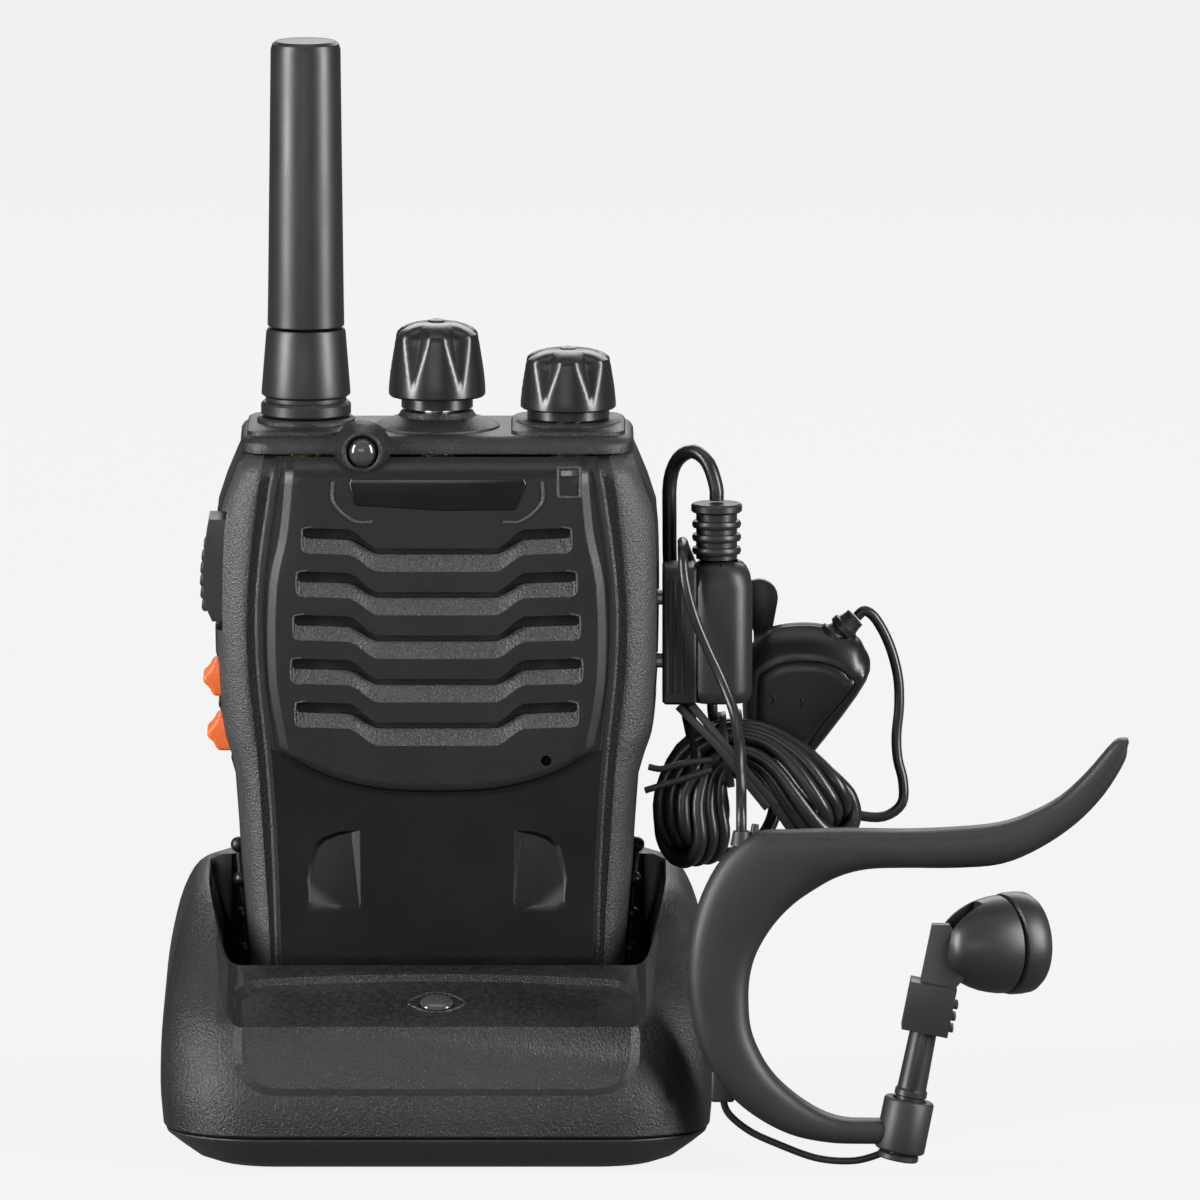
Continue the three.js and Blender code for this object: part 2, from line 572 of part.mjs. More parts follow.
// ---------------------------------------------------------------- earpiece
function plug() {
  const { y, half, z0, z1, plate0, plate1, body1, x } = PLUG;
  const plate = box(plate0, plate1 + 0.6, y - half + 0.6, y + half - 0.6, z0, z1 - 0.6);
  const body = loft(
    [
      [z0, 4.2, -3.6, 3.6, 1.8, 1.8],
      [z0 + 1.4, 4.9, -4.6, 4.6, 2.6, 2.6],
      [z1 - 2, 4.9, -4.6, 4.6, 2.6, 2.6],
      [z1, 4.1, -3.8, 3.8, 2, 2],
    ],
    3,
  ).translate((plate1 + body1) / 2, y, 0);
  const pinHoles = [73.2, 82.8].map((z) => rod("x", 30, y, z, 12, 1.2 + GAP, 1.2 + GAP, 14));
  piece("plug_body", cut(join(plate, body), ...pinHoles), "dark");
  for (const [name, z] of [["plug_pin_lower", 73.2], ["plug_pin_upper", 82.8]]) {
    piece(name, join(rod("x", 24, y, z, 1.4, 0.5, 1.2, 14), rod("x", 25.4, y, z, 14, 1.2, 1.2, 14)), "metal");
  }
  // ridged boot
  const rings = [];
  const base = z1 + GAP;
  const rise = (BOOT_TOP - base) / 5;
  rings.push([0, base]);
  for (let i = 0; i < 5; i++) {
    const z = base + i * rise;
    rings.push([3.9, z], [3.9, z + 0.5 * rise], [3.1, z + 0.6 * rise], [3.1, z + 0.9 * rise]);
  }
  rings.push([3.9, BOOT_TOP - 0.1], [3.9, BOOT_TOP], [0, BOOT_TOP]);
  piece("plug_boot", turned(rings, x, y, 16), "rubber");
}

// Outline of the microphone box: wide at the top, narrowing to a blunt toe. The front face is lower at the top.
const MIC_OUTLINE = [
  [49.6, 75.6], [53.6, 76.6], [58, 76.5], [62.4, 75.2], [64.5, 73.2], [64.9, 68.2],
  [55.3, 55.2], [53, 53.8], [49.3, 53.6], [47.2, 55], [46.2, 64], [46.8, 72.6],
];
const MIC_FACE = [
  [50.7, 72.3], [54, 73], [58.2, 72.8], [61.6, 71.6], [63.4, 70], [63.9, 67.6],
  [55, 55.7], [52.8, 54.5], [49.7, 54.3], [48, 55.6], [47, 64], [47.8, 70.6],
];

function shrunk(outline, inset) {
  const middle = [55, 66];
  return outline.map(([x, z]) => {
    const [dx, dz] = [x - middle[0], z - middle[1]];
    const scale = 1 - inset / Math.hypot(dx, dz);
    return [middle[0] + dx * scale, middle[1] + dz * scale];
  });
}

// Closed body between two outlines with the same number of points, at two depths.
function between(front, y0, back, y1) {
  const count = front.length;
  const position = [...front.flatMap(([x, z]) => [x, y0, z]), ...back.flatMap(([x, z]) => [x, y1, z])];
  const index = [];
  for (let i = 0; i < count; i++) {
    const next = (i + 1) % count;
    index.push(i, next, count + next, i, count + next, count + i);
  }
  for (let i = 1; i + 1 < count; i++) index.push(0, i + 1, i, count, count + i, count + i + 1);
  const geometry = new THREE.BufferGeometry();
  geometry.setAttribute("position", new THREE.Float32BufferAttribute(position, 3));
  geometry.setIndex(index);
  return solid(geometry);
}

const MIC_CLIP = { x: 49.3, z: 72.6, y: 14.9, half: 1.4 };

function micBox() {
  const split = MIC_SPLIT - GAP / 2;
  const front = join(
    between(MIC_FACE, MIC.y0, MIC_OUTLINE, split - 1),
    between(MIC_OUTLINE, split - 1.01, MIC_OUTLINE, split),
  );
  const seat = slabXZ(polygon(shrunk(MIC_FACE, 1.2)), 0, MIC.y0 + 1.4);
  const stemHole = rod("y", 55, 3, 65, 6, 3.2, 3.2, 20);
  const bootHole = micBootHole(2);
  piece("mic_box_front", cut(front, seat, stemHole, bootHole), "dark");
  const button = join(
    slabXZ(polygon(shrunk(MIC_FACE, 1.6)), MIC.y0 - 0.3, MIC.y0 + 0.5),
    rod("y", 55, MIC.y0 + 0.4, 65, 2.8, 2.8, 2.8, 20),
  );
  piece("mic_button", button, "dark");
  const back = between(MIC_OUTLINE, MIC_SPLIT + GAP / 2, shrunk(MIC_OUTLINE, 0.7), MIC.y1);
  const lugs = [-1, 1].flatMap((side) => {
    const x0 = MIC_CLIP.x + (side > 0 ? MIC_CLIP.half + GAP : -MIC_CLIP.half - GAP - 1);
    return [
      rod("x", x0, MIC_CLIP.y, MIC_CLIP.z, 1, 1.3, 1.3, 14),
      box(x0, x0 + 1, MIC.y1 - 1, MIC_CLIP.y, MIC_CLIP.z - 1.3, MIC_CLIP.z + 1.3),
    ];
  });
  piece("mic_box_back", cut(join(back, ...lugs), bootHole), "dark");
  const { x, y, z, half } = MIC_CLIP;
  const clipShape = new THREE.Shape();
  clipShape.absarc(x - 0.6, 79.7, 2.9, -0.3, Math.PI + 0.3, false);
  clipShape.lineTo(x - half, z + 2);
  clipShape.lineTo(x - half, 59);
  clipShape.lineTo(x + half, 59);
  clipShape.lineTo(x + half, z + 2);
  clipShape.closePath();
  const clip = join(
    slabXZ(clipShape, y + 0.6, y + 1.8, 6),
    rod("x", x - half, y, z, 2 * half, 1.2, 1.2, 14),
    box(x - half, x + half, y - 1.2, y + 1.2, 59, 60.2),
  );
  piece("mic_clip", clip, "dark");
  piece("mic_boot", micBoot(), "rubber");
}

// The boot leans out of the box's top corner, up and to the right.
const MIC_BOOT = { x: 55.2, y: 7.6, z: 70.3, lean: 47 };

function leaned(geometry) {
  geometry.rotateY(THREE.MathUtils.degToRad(MIC_BOOT.lean));
  geometry.translate(MIC_BOOT.x, MIC_BOOT.y, MIC_BOOT.z);
  return geometry;
}

function micBootHole(r) {
  return solid(leaned(turned([[0, 0.2], [r, 0.2], [r, 3.9], [3.6, 3.9], [3.6, 13], [0, 13]], 0, 0, 16)));
}

function micBoot() {
  const profile = [[0, 0.8], [1.6, 0.8], [1.6, 4.3], [3, 4.5]];
  for (let i = 0; i < 4; i++) {
    const [r, h] = [3.1 - i * 0.3, 5.2 + i * 1.4];
    profile.push([r, h], [r - 0.55, h + 0.3], [r - 0.55, h + 0.8], [r - 0.3, h + 1]);
  }
  profile.push([1.7, 11], [0, 11]);
  return solid(leaned(turned(profile, 0, 0, 14)));
}

// Ear hook: outer and inner edges as smooth curves through a few points.
function hookShape() {
  const outer = [[101.6, 66.1], [93.6, 57.6], [84.5, 53.6], [72, 52.6], [58, 52.6], [45, 51.2]];
  const outerLow = [[42.6, 47.8], [38.3, 38.5], [37.9, 27.5], [40.5, 17.5], [46, 10.5], [54.2, 6], [63, 4.9], [68, 4.9]];
  const innerLow = [[68, 8.7], [60.8, 8.8], [52.2, 14.1], [47.2, 22], [46.9, 30.5], [51.2, 38.8], [59, 44.8]];
  const inner = [[66, 46.8], [76, 46.8], [84.5, 47.3], [93, 51], [100.4, 58.4], [103.2, 64.6]];
  const v = (list) => list.map(([x, z]) => new THREE.Vector2(x, z));
  const shape = new THREE.Shape();
  shape.moveTo(...outer[0]);
  shape.splineThru(v(outer.slice(1)));
  shape.lineTo(...outerLow[0]);
  shape.splineThru(v(outerLow.slice(1)));
  shape.lineTo(...innerLow[0]);
  shape.splineThru(v([...innerLow.slice(1), ...inner]));
  shape.quadraticCurveTo(103.4, 66.4, ...outer[0]);
  return shape;
}

// Geometry drawn along the stem's own axis, leaned into place.
function onStem(body) {
  return body.rotate([0, STEM.lean, 0]).translate(STEM.x, HOOK.y, STEM.z);
}

const BUD = { x: 76.6, z: 34.4, yaw: 31 };

function earHook() {
  const blade = slabXZ(hookShape(), HOOK.y - HOOK.half, HOOK.y + HOOK.half, 5);
  const sleeve = onStem(rod("z", 0, 0, -4, 8, 3.8, 3.8, 24));
  const sleeveBore = onStem(rod("z", 0, 0, -10, 30, STEM.r + GAP, STEM.r + GAP, 20));
  const tab = box(41.2, 44.8, HOOK.y - 1.6, HOOK.y + 1.6, 11.3, 16);
  piece("ear_hook", cut(join(blade, sleeve, tab), sleeveBore), "rubber");

  const under = -4 - GAP;
  const stem = [[0, STEM.low], [3.1, STEM.low], [3.1, under], [STEM.r, under], [STEM.r, STEM.high], [0, STEM.high]];
  piece("earbud_stem", onStem(solid(turned(stem, 0, 0, 20))), "dark");

  const clamp = onStem(
    cut(
      box(-3.4, 3.6, -3.2, 3.2, 14.6, 22),
      rod("z", 0, 0, 10, 10.1, STEM.r + GAP, STEM.r + GAP, 20),
    ),
  );
  const arm = slabXZ(
    polygon([[72.4, 28.4], [77.8, 28.4], [80.6, 31.6], [79.4, 34.8], [77, 38.2], [74.4, 38.2]]),
    HOOK.y - 1.1,
    HOOK.y + 1.1,
  );
  piece("earbud_bracket", join(clamp, arm), "dark");

  // The earbud: a dome with a slotted back that straddles the bracket's arm, and a soft rim.
  const dome = [[0, -0.4], [3, 0], [4.8, 1.8], [6.2, 4.2], [7.1, 7], [7.4, 9.4], [0, 9.4]];
  const turn = (profile, sides) => {
    const geometry = turned(profile, 0, 0, sides);
    geometry.rotateY(Math.PI / 2);
    geometry.rotateZ(THREE.MathUtils.degToRad(BUD.yaw));
    geometry.translate(BUD.x, HOOK.y, BUD.z);
    return solid(geometry);
  };
  const armRoom = box(BUD.x - 6, BUD.x + 5.4, HOOK.y - 1.4, HOOK.y + 1.4, BUD.z - 12, BUD.z + 12);
  piece("earbud_housing", cut(turn(dome, 28), armRoom), "dark");
  const rim = [[0, 9.8], [7.2, 9.8], [7.7, 10.2], [7.6, 12.6], [6.4, 14], [3, 14.6], [0, 14.6]];
  piece("earbud_cushion", turn(rim, 28), "rubber");
}

// ---------------------------------------------------------------- cords
// The lead arches over from the boot, drops between the radio and the plug, and enters the tied hank.
const PLUG_LEAD = [
  [42.2, -5, 97.5], [42.1, -4.9, 99.6], [40.9, -3.7, 103], [38.7, -1.6, 104.5], [36.4, 0.7, 103],
  [35.2, 1.9, 99.6], [35.1, 2, 94], [35.2, 2, 86], [35.8, 2, 78], [36.8, 1.8, 71.5], [38, 1, 67], [38.6, 0.2, 64.6],
];
// The lead's last stretch: out of the back of the hank, up into the microphone box.
const BOX_LEAD = [[46.4, 3.9, 45.4], [48.8, 6.2, 44.6], [50.8, 8.1, 46.2], [51.2, 8.5, 49.4], [51.2, 8.5, 53.2]];
// The thinner wire: out of the boot, down the right, back into the hank.
const MIC_WIRE = [
  [63.5, 7.6, 78], [64.7, 7.6, 78.9], [66.4, 7.6, 77.6], [68.4, 7.4, 73.8], [69.7, 7.2, 69], [69.9, 7, 64.4],
  [69.5, 6.8, 60], [69.7, 6.6, 56.4], [70.5, 6.4, 53], [70.3, 6.2, 49.6], [67.6, 5.8, 47.7], [63.6, 5.2, 48], [59.6, 4.7, 49.4],
];
// The same wire again: up behind the plug, over its plate, down across its front and out to the ear hook.
const HOOK_LEAD = [
  [41.6, 1.6, 64.6], [41.6, 1.6, 68.4], [41.4, 1.4, 73], [40.7, 1.2, 79], [39.2, 1.2, 84.8], [37.6, 0.2, 89],
  [37.1, -2.8, 90.8], [37.1, -6.6, 90.9], [37.1, -10, 89.4], [37.5, -11.3, 85.6], [38.8, -11.4, 80.8], [40.7, -11.4, 76],
  [43.2, -12, 70.6], [45, -14.4, 65.8], [45.6, -19.4, 61.8], [45.7, -26, 59.6], [45.8, -32.6, 58.6],
  [45.8, -37.6, 57], [45.8, -40, 54.4], [45.8, -40.2, 51.9],
];
// A short bare stretch under the ear hook, from its clip to the foot of the earbud's stem.
const BUD_LEAD = [
  [43.3, -40.2, 10.8], [44, -40.2, 9.3], [47, -40.2, 6.8], [51, -40.2, 4.9], [56.9, -40.2, 2.7], [62, -40.2, 2.2], [65.6, -40.2, 2.9],
];
const HANK = { y0: -8.8, y1: 3.3 };

// The tied hank: one bundle that hangs down and one that reaches right, pinched where the tie holds them.
function hankShape() {
  const v = (list) => list.map(([x, z]) => new THREE.Vector2(x, z));
  const shape = new THREE.Shape();
  shape.moveTo(34.6, 58.6);
  shape.splineThru(v([[33.3, 54], [33.2, 47.5], [36, 42.2], [40.8, 41.6], [44.6, 44.4], [46.2, 49]]));
  shape.splineThru(v([[50, 46.6], [55, 43.6], [60.2, 43], [63, 46.6], [61.4, 51.6], [55.4, 55.4], [49, 59]]));
  shape.splineThru(v([[43.4, 62.8], [37.6, 63.4], [34.6, 58.6]]));
  return shape;
}

function cords() {
  piece("plug_lead", tube(PLUG_LEAD, LEAD_R, 22), "rubber");
  piece("lead_hank", slabXZ(hankShape(), HANK.y0, HANK.y1, 3), "rubber");
  piece("box_lead", tube(BOX_LEAD, LEAD_R, 6), "rubber");
  piece("mic_wire", tube(MIC_WIRE, WIRE_R, 18), "rubber");
  piece("hook_lead", tube(HOOK_LEAD, WIRE_R, 26), "rubber");
  piece("bud_lead", tube(BUD_LEAD, BUD_WIRE_R, 8), "rubber");
}

// ---------------------------------------------------------------- assembly
charger();
radioBody();
radioInside();
battery();
beltClip();
antenna();
knob("volume_knob", VOLUME_X, 111, 124.6, 7.3, 6.1, 5.4);
knob("channel_knob", CHANNEL_X, 109.5, 120.4, 7.2, 6.5, 6.2);
keys();
plug();
micBox();
earHook();
cords();

export default part;
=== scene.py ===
"""Looks of a hand-held two way radio in its desk charger, with a wired ear-hook earpiece.

Lengths are in millimetres until a mesh is finished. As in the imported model, +Z is up and the
radio's front faces -Y.
"""
import json
import math

import bmesh
import bpy
from mathutils import Matrix, Vector


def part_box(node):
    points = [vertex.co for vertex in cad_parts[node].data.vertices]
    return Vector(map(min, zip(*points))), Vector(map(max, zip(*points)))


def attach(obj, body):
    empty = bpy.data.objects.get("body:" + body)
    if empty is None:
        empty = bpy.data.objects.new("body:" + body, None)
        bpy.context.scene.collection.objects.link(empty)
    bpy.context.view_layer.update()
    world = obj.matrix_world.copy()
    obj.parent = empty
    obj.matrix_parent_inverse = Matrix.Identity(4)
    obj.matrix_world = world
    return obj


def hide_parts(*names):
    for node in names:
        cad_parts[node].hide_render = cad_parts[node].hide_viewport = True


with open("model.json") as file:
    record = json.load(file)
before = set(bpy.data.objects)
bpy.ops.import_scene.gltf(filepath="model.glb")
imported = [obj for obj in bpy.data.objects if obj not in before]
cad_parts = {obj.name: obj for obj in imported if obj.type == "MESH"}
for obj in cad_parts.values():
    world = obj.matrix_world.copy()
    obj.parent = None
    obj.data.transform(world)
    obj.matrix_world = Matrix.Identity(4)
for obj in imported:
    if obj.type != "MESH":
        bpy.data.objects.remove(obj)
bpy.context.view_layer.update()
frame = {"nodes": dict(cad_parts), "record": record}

MM = 0.001
AXIS_Y = 1.0  # depth of the antenna and both knobs
ANTENNA_X = -19.8
VOLUME_X = 0.0
CHANNEL_X = 19.8
SLOT_COUNT = 5
SLOT_TOP = 91.7  # upper edge of the highest speaker slot, at its middle
SLOT_PITCH = 6.62
SLOT_RISE = 2.9  # how much higher a slot's ends are than its middle
BARREL_STEP = 0.8  # how far the speaker panel stands out
CREASE = (-34.5, 22.0)  # charger: depth and height of the edge between its front and its slope
LIP = (-18.3, 28.6)  # charger: front edge of the pocket
POCKET_HALF = 32.4
STEM_FOOT = (70.3, -40.2, 7.7)
STEM_LEAN = math.radians(11.3)
BUD = (76.6, -40.2, 34.4)
BUD_YAW = math.radians(31)
HOOK_Y = -40.2


# ---------------------------------------------------------------- numbers along a line
def straight(profile, at):
    """Value at a place on a broken straight line of (place, value) pairs."""
    for (a, low), (b, high) in zip(profile, profile[1:]):
        if at <= b:
            return low + (high - low) * max(0.0, (at - a) / (b - a))
    return profile[-1][1]


def eased(profile, at):
    """Value at a place on a smooth line through (place, value) pairs."""
    if at <= profile[0][0]:
        return profile[0][1]
    if at >= profile[-1][0]:
        return profile[-1][1]
    i = next(k for k in range(len(profile) - 1) if at <= profile[k + 1][0])

    def lean(k):
        before, after = profile[max(k - 1, 0)], profile[min(k + 1, len(profile) - 1)]
        return (after[1] - before[1]) / (after[0] - before[0])

    (a, low), (b, high) = profile[i], profile[i + 1]
    width = b - a
    t = (at - a) / width
    return (
        low * (2 * t**3 - 3 * t**2 + 1)
        + width * lean(i) * (t**3 - 2 * t**2 + t)
        + high * (3 * t**2 - 2 * t**3)
        + width * lean(i + 1) * (t**3 - t**2)
    )


def fade(at, start, end):
    """Smoothly from 1 at start to 0 at end."""
    t = min(1.0, max(0.0, (at - start) / (end - start)))
    return 1 - t * t * (3 - 2 * t)


def spline(points, steps):
    """Points of a smooth line through a few points, the given number of steps between each two."""
    points = [Vector(p) for p in points]
    ends = [2 * points[0] - points[1], *points, 2 * points[-1] - points[-2]]
    line = []
    for a, b, c, d in zip(ends, ends[1:], ends[2:], ends[3:]):
        for k in range(steps):
            t = k / steps
            line.append(
                0.5 * (
                    2 * b + (c - a) * t + (
                        2 * a - 5 * b + 4 * c - d
                    ) * t**2 + (3 * b - a - 3 * c + d) * t**3
                )
            )
    return [*line, points[-1]]


# ---------------------------------------------------------------- mesh tools
def outline(half, front, back, r_front, r_back, z, steps=8):
    """Level rectangle with its own front and back corner radii, as points."""
    corners = (
        (half - r_front, front + r_front, r_front, -90),
        (half - r_back, back - r_back, r_back, 0),
        (-half + r_back, back - r_back, r_back, 90),
        (-half + r_front, front + r_front, r_front, 180),
    )
    points = []
    for x, y, r, start in corners:
        for k in range(steps + 1):
            a = math.radians(start + 90 * k / steps)
            points.append((x + r * math.cos(a), y + r * math.sin(a), z))
    return points


def spot(point):
    return tuple(round(c, 5) for c in point)


def lofted(rings):
    """Body drawn out of its first ring through the others, each with the same number of points."""
    bm = bmesh.new()
    rings = [[Vector(p) for p in ring] for ring in rings]
    first = face = bm.faces.new([bm.verts.new(p) for p in rings[0]])
    for before, after in zip(rings, rings[1:]):
        goes_to = {spot(p): q for p, q in zip(before, after)}
        grown = bmesh.ops.extrude_face_region(bm, geom=[face])["geom"]
        for v in grown:
            if isinstance(v, bmesh.types.BMVert):
                v.co = goes_to[spot(v.co)]
        if face is not first and face.is_valid:
            bmesh.ops.delete(bm, geom=[face], context="FACES_ONLY")
        face = next(g for g in grown if isinstance(g, bmesh.types.BMFace))
    bmesh.ops.recalc_face_normals(bm, faces=bm.faces)
    return bm


def turned(profile, segments=64):
    """Body made by turning a profile of (radius, height) round the Z axis."""
    bm = bmesh.new()
    verts = [bm.verts.new((r, 0, z)) for r, z in profile]
    edges = [bm.edges.new(pair) for pair in zip(verts, verts[1:])]
    bmesh.ops.spin(
        bm, geom=verts + edges, cent=(0, 0, 0), axis=(0, 0, 1), angle=math.tau, steps=segments, use_merge=True
    )
    bmesh.ops.remove_doubles(bm, verts=bm.verts, dist=1e-4)
    bmesh.ops.recalc_face_normals(bm, faces=bm.faces)
    return bm


def block(x0, x1, y0, y1, z0, z1):
    bm = bmesh.new()
    bmesh.ops.create_cube(bm, size=1)
    bmesh.ops.scale(bm, vec=(x1 - x0, y1 - y0, z1 - z0), verts=bm.verts)
    return moved(bm, ((x0 + x1) / 2, (y0 + y1) / 2, (z0 + z1) / 2))


def rod(start, end, radius, end_radius=None, segments=32):
    """Round bar or cone between two points."""
    start, end = Vector(start), Vector(end)
    length = (end - start).length
    bm = turned(
        [(0, 0), (radius, 0), (radius if end_radius is None else end_radius, length), (0, length)], segments
    )
    turn = Vector((0, 0, 1)).rotation_difference(end - start).to_matrix()
    bmesh.ops.rotate(bm, matrix=turn, verts=bm.verts)
    return moved(bm, start)


def slab(points, y0, y1):
    """Outline of (x, z) points, pushed along Y."""
    return lofted([[(x, y0, z) for x, z in points], [(x, y1, z) for x, z in points]])


def side_slab(points, x0, x1):
    """Outline of (y, z) points, pushed along X."""
    return lofted([[(x0, y, z) for y, z in points], [(x1, y, z) for y, z in points]])


def moved(bm, by):
    bmesh.ops.translate(bm, vec=by, verts=bm.verts)
    return bm


def rotated(bm, degrees, axis, centre=(0, 0, 0)):
    bmesh.ops.rotate(bm, cent=centre, matrix=Matrix.Rotation(math.radians(degrees), 3, axis), verts=bm.verts)
    return bm


def joined(*parts):
    """Several bodies in one mesh."""
    whole = bmesh.new()
    for part in parts:
        mesh = bpy.data.meshes.new("part")
        part.to_mesh(mesh)
        part.free()
        whole.from_mesh(mesh)
        bpy.data.meshes.remove(mesh)
    return whole


def scratch(bm, closed=True):
    """Passing object that holds a body for a modifier; an open sheet keeps the side it faces."""
    if closed:
        bmesh.ops.recalc_face_normals(bm, faces=bm.faces)
    mesh = bpy.data.meshes.new("scratch")
    bm.to_mesh(mesh)
    bm.free()
    obj = bpy.data.objects.new("scratch", mesh)
    bpy.context.scene.collection.objects.link(obj)
    return obj


def taken(obj, *others):
    """The body of a passing object with its modifiers applied; the objects are removed."""
    bpy.context.view_layer.update()
    mesh = bpy.data.meshes.new_from_object(obj.evaluated_get(bpy.context.evaluated_depsgraph_get()))
    bm = bmesh.new()
    bm.from_mesh(mesh)
    bm.normal_update()
    for old in (mesh, obj.data, *(o.data for o in others)):
        bpy.data.meshes.remove(old)
    return bm


def carved(body, *tools, how="DIFFERENCE"):
    """Body with the tools cut out of it; the tools don't touch each other."""
    obj = scratch(body)
    tool = scratch(joined(*tools))
    step = obj.modifiers.new("cut", "BOOLEAN")
    step.operation = how
    step.solver = "EXACT"
    step.object = tool
    return taken(obj, tool)


def softened(bm, width, segments=2, limit=28, inside=None):
    """Edges sharper than the limit, rounded; inside() may choose among them by their middle."""
    bmesh.ops.remove_doubles(bm, verts=bm.verts, dist=1e-4)
    sharp = [
        e
        for e in bm.edges
        if len(e.link_faces) == 2
        and e.calc_face_angle() > math.radians(limit)
        and (inside is None or inside((e.verts[0].co + e.verts[1].co) / 2))
    ]
    bmesh.ops.bevel(
        bm,
        geom=sharp,
        offset=width,
        offset_type="OFFSET",
        affect="EDGES",
        segments=segments,
        profile=0.5,
        material=-1,
        clamp_overlap=True,
    )
    return bm


def of_node(node, flat=1.0):
    """A CAD node's own shape, merged, with its level triangles joined, in millimetres."""
    bm = bmesh.new()
    bm.from_mesh(frame["nodes"][node].data)
    bmesh.ops.scale(bm, vec=(1 / MM,) * 3, verts=bm.verts)
    bmesh.ops.remove_doubles(bm, verts=bm.verts, dist=1e-3)
    bmesh.ops.dissolve_limit(bm, angle_limit=math.radians(flat), verts=bm.verts, edges=bm.edges)
    for f in bm.faces:
        f.material_index = 0
    return bm


def piece(name, bm, finishes, body, slot, *nodes, smooth=32):
    """Finished piece: its mesh in metres, outward, smooth but for its sharp edges, riding on its body."""
    bmesh.ops.scale(bm, vec=(MM,) * 3, verts=bm.verts)
    bmesh.ops.remove_doubles(bm, verts=bm.verts, dist=1e-8)
    bmesh.ops.recalc_face_normals(bm, faces=bm.faces)
    mesh = bpy.data.meshes.new(name)
    bm.to_mesh(mesh)
    bm.free()
    for finish in finishes if isinstance(finishes, (list, tuple)) else [finishes]:
        mesh.materials.append(finish)
    mesh.polygons.foreach_set("use_smooth", [True] * len(mesh.polygons))
    mesh.set_sharp_from_angle(angle=math.radians(smooth))
    obj = bpy.data.objects.new(name, mesh)
    bpy.context.scene.collection.objects.link(obj)
    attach(obj, body)
    if nodes:
        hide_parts(*nodes)
    return obj


def tube(points, radius, segments=12, steps=6):
    """Round line along a smooth line through points, as a body."""
    curve = bpy.data.curves.new("line", "CURVE")
    curve.dimensions = "3D"
    curve.bevel_depth = radius
    curve.bevel_resolution = segments // 4
    curve.use_fill_caps = True
    line = spline(points, steps)
    track = curve.splines.new("POLY")
    track.points.add(len(line) - 1)
    for place, p in zip(track.points, line):
        place.co = (*p, 1)
    obj = bpy.data.objects.new("line", curve)
    bpy.context.scene.collection.objects.link(obj)
    bpy.context.view_layer.update()
    mesh = bpy.data.meshes.new_from_object(obj.evaluated_get(bpy.context.evaluated_depsgraph_get()))
    bm = bmesh.new()
    bm.from_mesh(mesh)
    bpy.data.meshes.remove(mesh)
    bpy.data.curves.remove(curve)
    bmesh.ops.remove_doubles(bm, verts=bm.verts, dist=1e-4)
    return bm


# ---------------------------------------------------------------- finishes
def group(name, inputs, outputs, fill):
    """Shader node group with named inputs and outputs; fill(nodes, links, start, end) makes its inside."""
    tree = bpy.data.node_groups.new(name, "ShaderNodeTree")
    for label, kind, value in inputs:
        socket = tree.interface.new_socket(label, in_out="INPUT", socket_type=kind)
        if value is not None:
            socket.default_value = value
    for label, kind in outputs:
        tree.interface.new_socket(label, in_out="OUTPUT", socket_type=kind)
    start = tree.nodes.new("NodeGroupInput")
    end = tree.nodes.new("NodeGroupOutput")
    fill(tree.nodes, tree.links, start.outputs, end.inputs)
    return tree


def math_node(nodes, links, operation, a, b=None, clamp=False):
    node = nodes.new("ShaderNodeMath")
    node.operation = operation
    node.use_clamp = clamp
    for socket, value in zip(node.inputs, (a, b)):
        if isinstance(value, (int, float)):
            socket.default_value = value
        elif value is not None:
            links.new(value, socket)
    return node.outputs[0]


def fill_grain(nodes, links, start, end):
    """Spark-eroded texture: rounded cells of two sizes, and a slow unevenness."""
    cells = nodes.new("ShaderNodeTexVoronoi")
    cells.feature = "SMOOTH_F1"
    links.new(start["Place"], cells.inputs["Vector"])
    links.new(math_node(nodes, links, "DIVIDE", 1.0, start["Size"]), cells.inputs["Scale"])
    fine = nodes.new("ShaderNodeTexNoise")
    fine.inputs["Detail"].default_value = 3
    links.new(start["Place"], fine.inputs["Vector"])
    links.new(math_node(nodes, links, "DIVIDE", 1.6, start["Size"]), fine.inputs["Scale"])
    high = math_node(nodes, links, "SUBTRACT", 1.0, cells.outputs["Distance"])
    both = math_node(nodes, links, "ADD", math_node(nodes, links, "MULTIPLY", high, 0.5), fine.outputs["Fac"])
    links.new(math_node(nodes, links, "MULTIPLY", both, 0.8), end["Height"])
    sharp = math_node(nodes, links, "MULTIPLY_ADD", fine.outputs["Fac"], 3.4, clamp=True)
    sharp.node.inputs[2].default_value = -1.2
    links.new(sharp, end["Fleck"])


def fill_handling(nodes, links, start, end):
    """Slow cloudiness of a handled surface, and the little dust that lies on what faces up."""
    cloud = nodes.new("ShaderNodeTexNoise")
    cloud.inputs["Detail"].default_value = 4
    cloud.inputs["Roughness"].default_value = 0.6
    links.new(start["Place"], cloud.inputs["Vector"])
    links.new(math_node(nodes, links, "DIVIDE", 1.0, start["Size"]), cloud.inputs["Scale"])
    specks = nodes.new("ShaderNodeTexNoise")
    specks.inputs["Detail"].default_value = 2
    specks.inputs["Scale"].default_value = 1400
    links.new(start["Place"], specks.inputs["Vector"])
    facing = nodes.new("ShaderNodeNewGeometry")
    split = nodes.new("ShaderNodeSeparateXYZ")
    links.new(facing.outputs["Normal"], split.inputs[0])
    up = math_node(nodes, links, "MULTIPLY", split.outputs["Z"], 0.8, clamp=True)
    dusty = math_node(
        nodes, links, "MULTIPLY", up, math_node(nodes, links, "SUBTRACT", specks.outputs["Fac"], 0.35)
    )
    links.new(cloud.outputs["Fac"], end["Cloud"])
    links.new(math_node(nodes, links, "MULTIPLY", dusty, start["Dust"], clamp=True), end["Dust"])


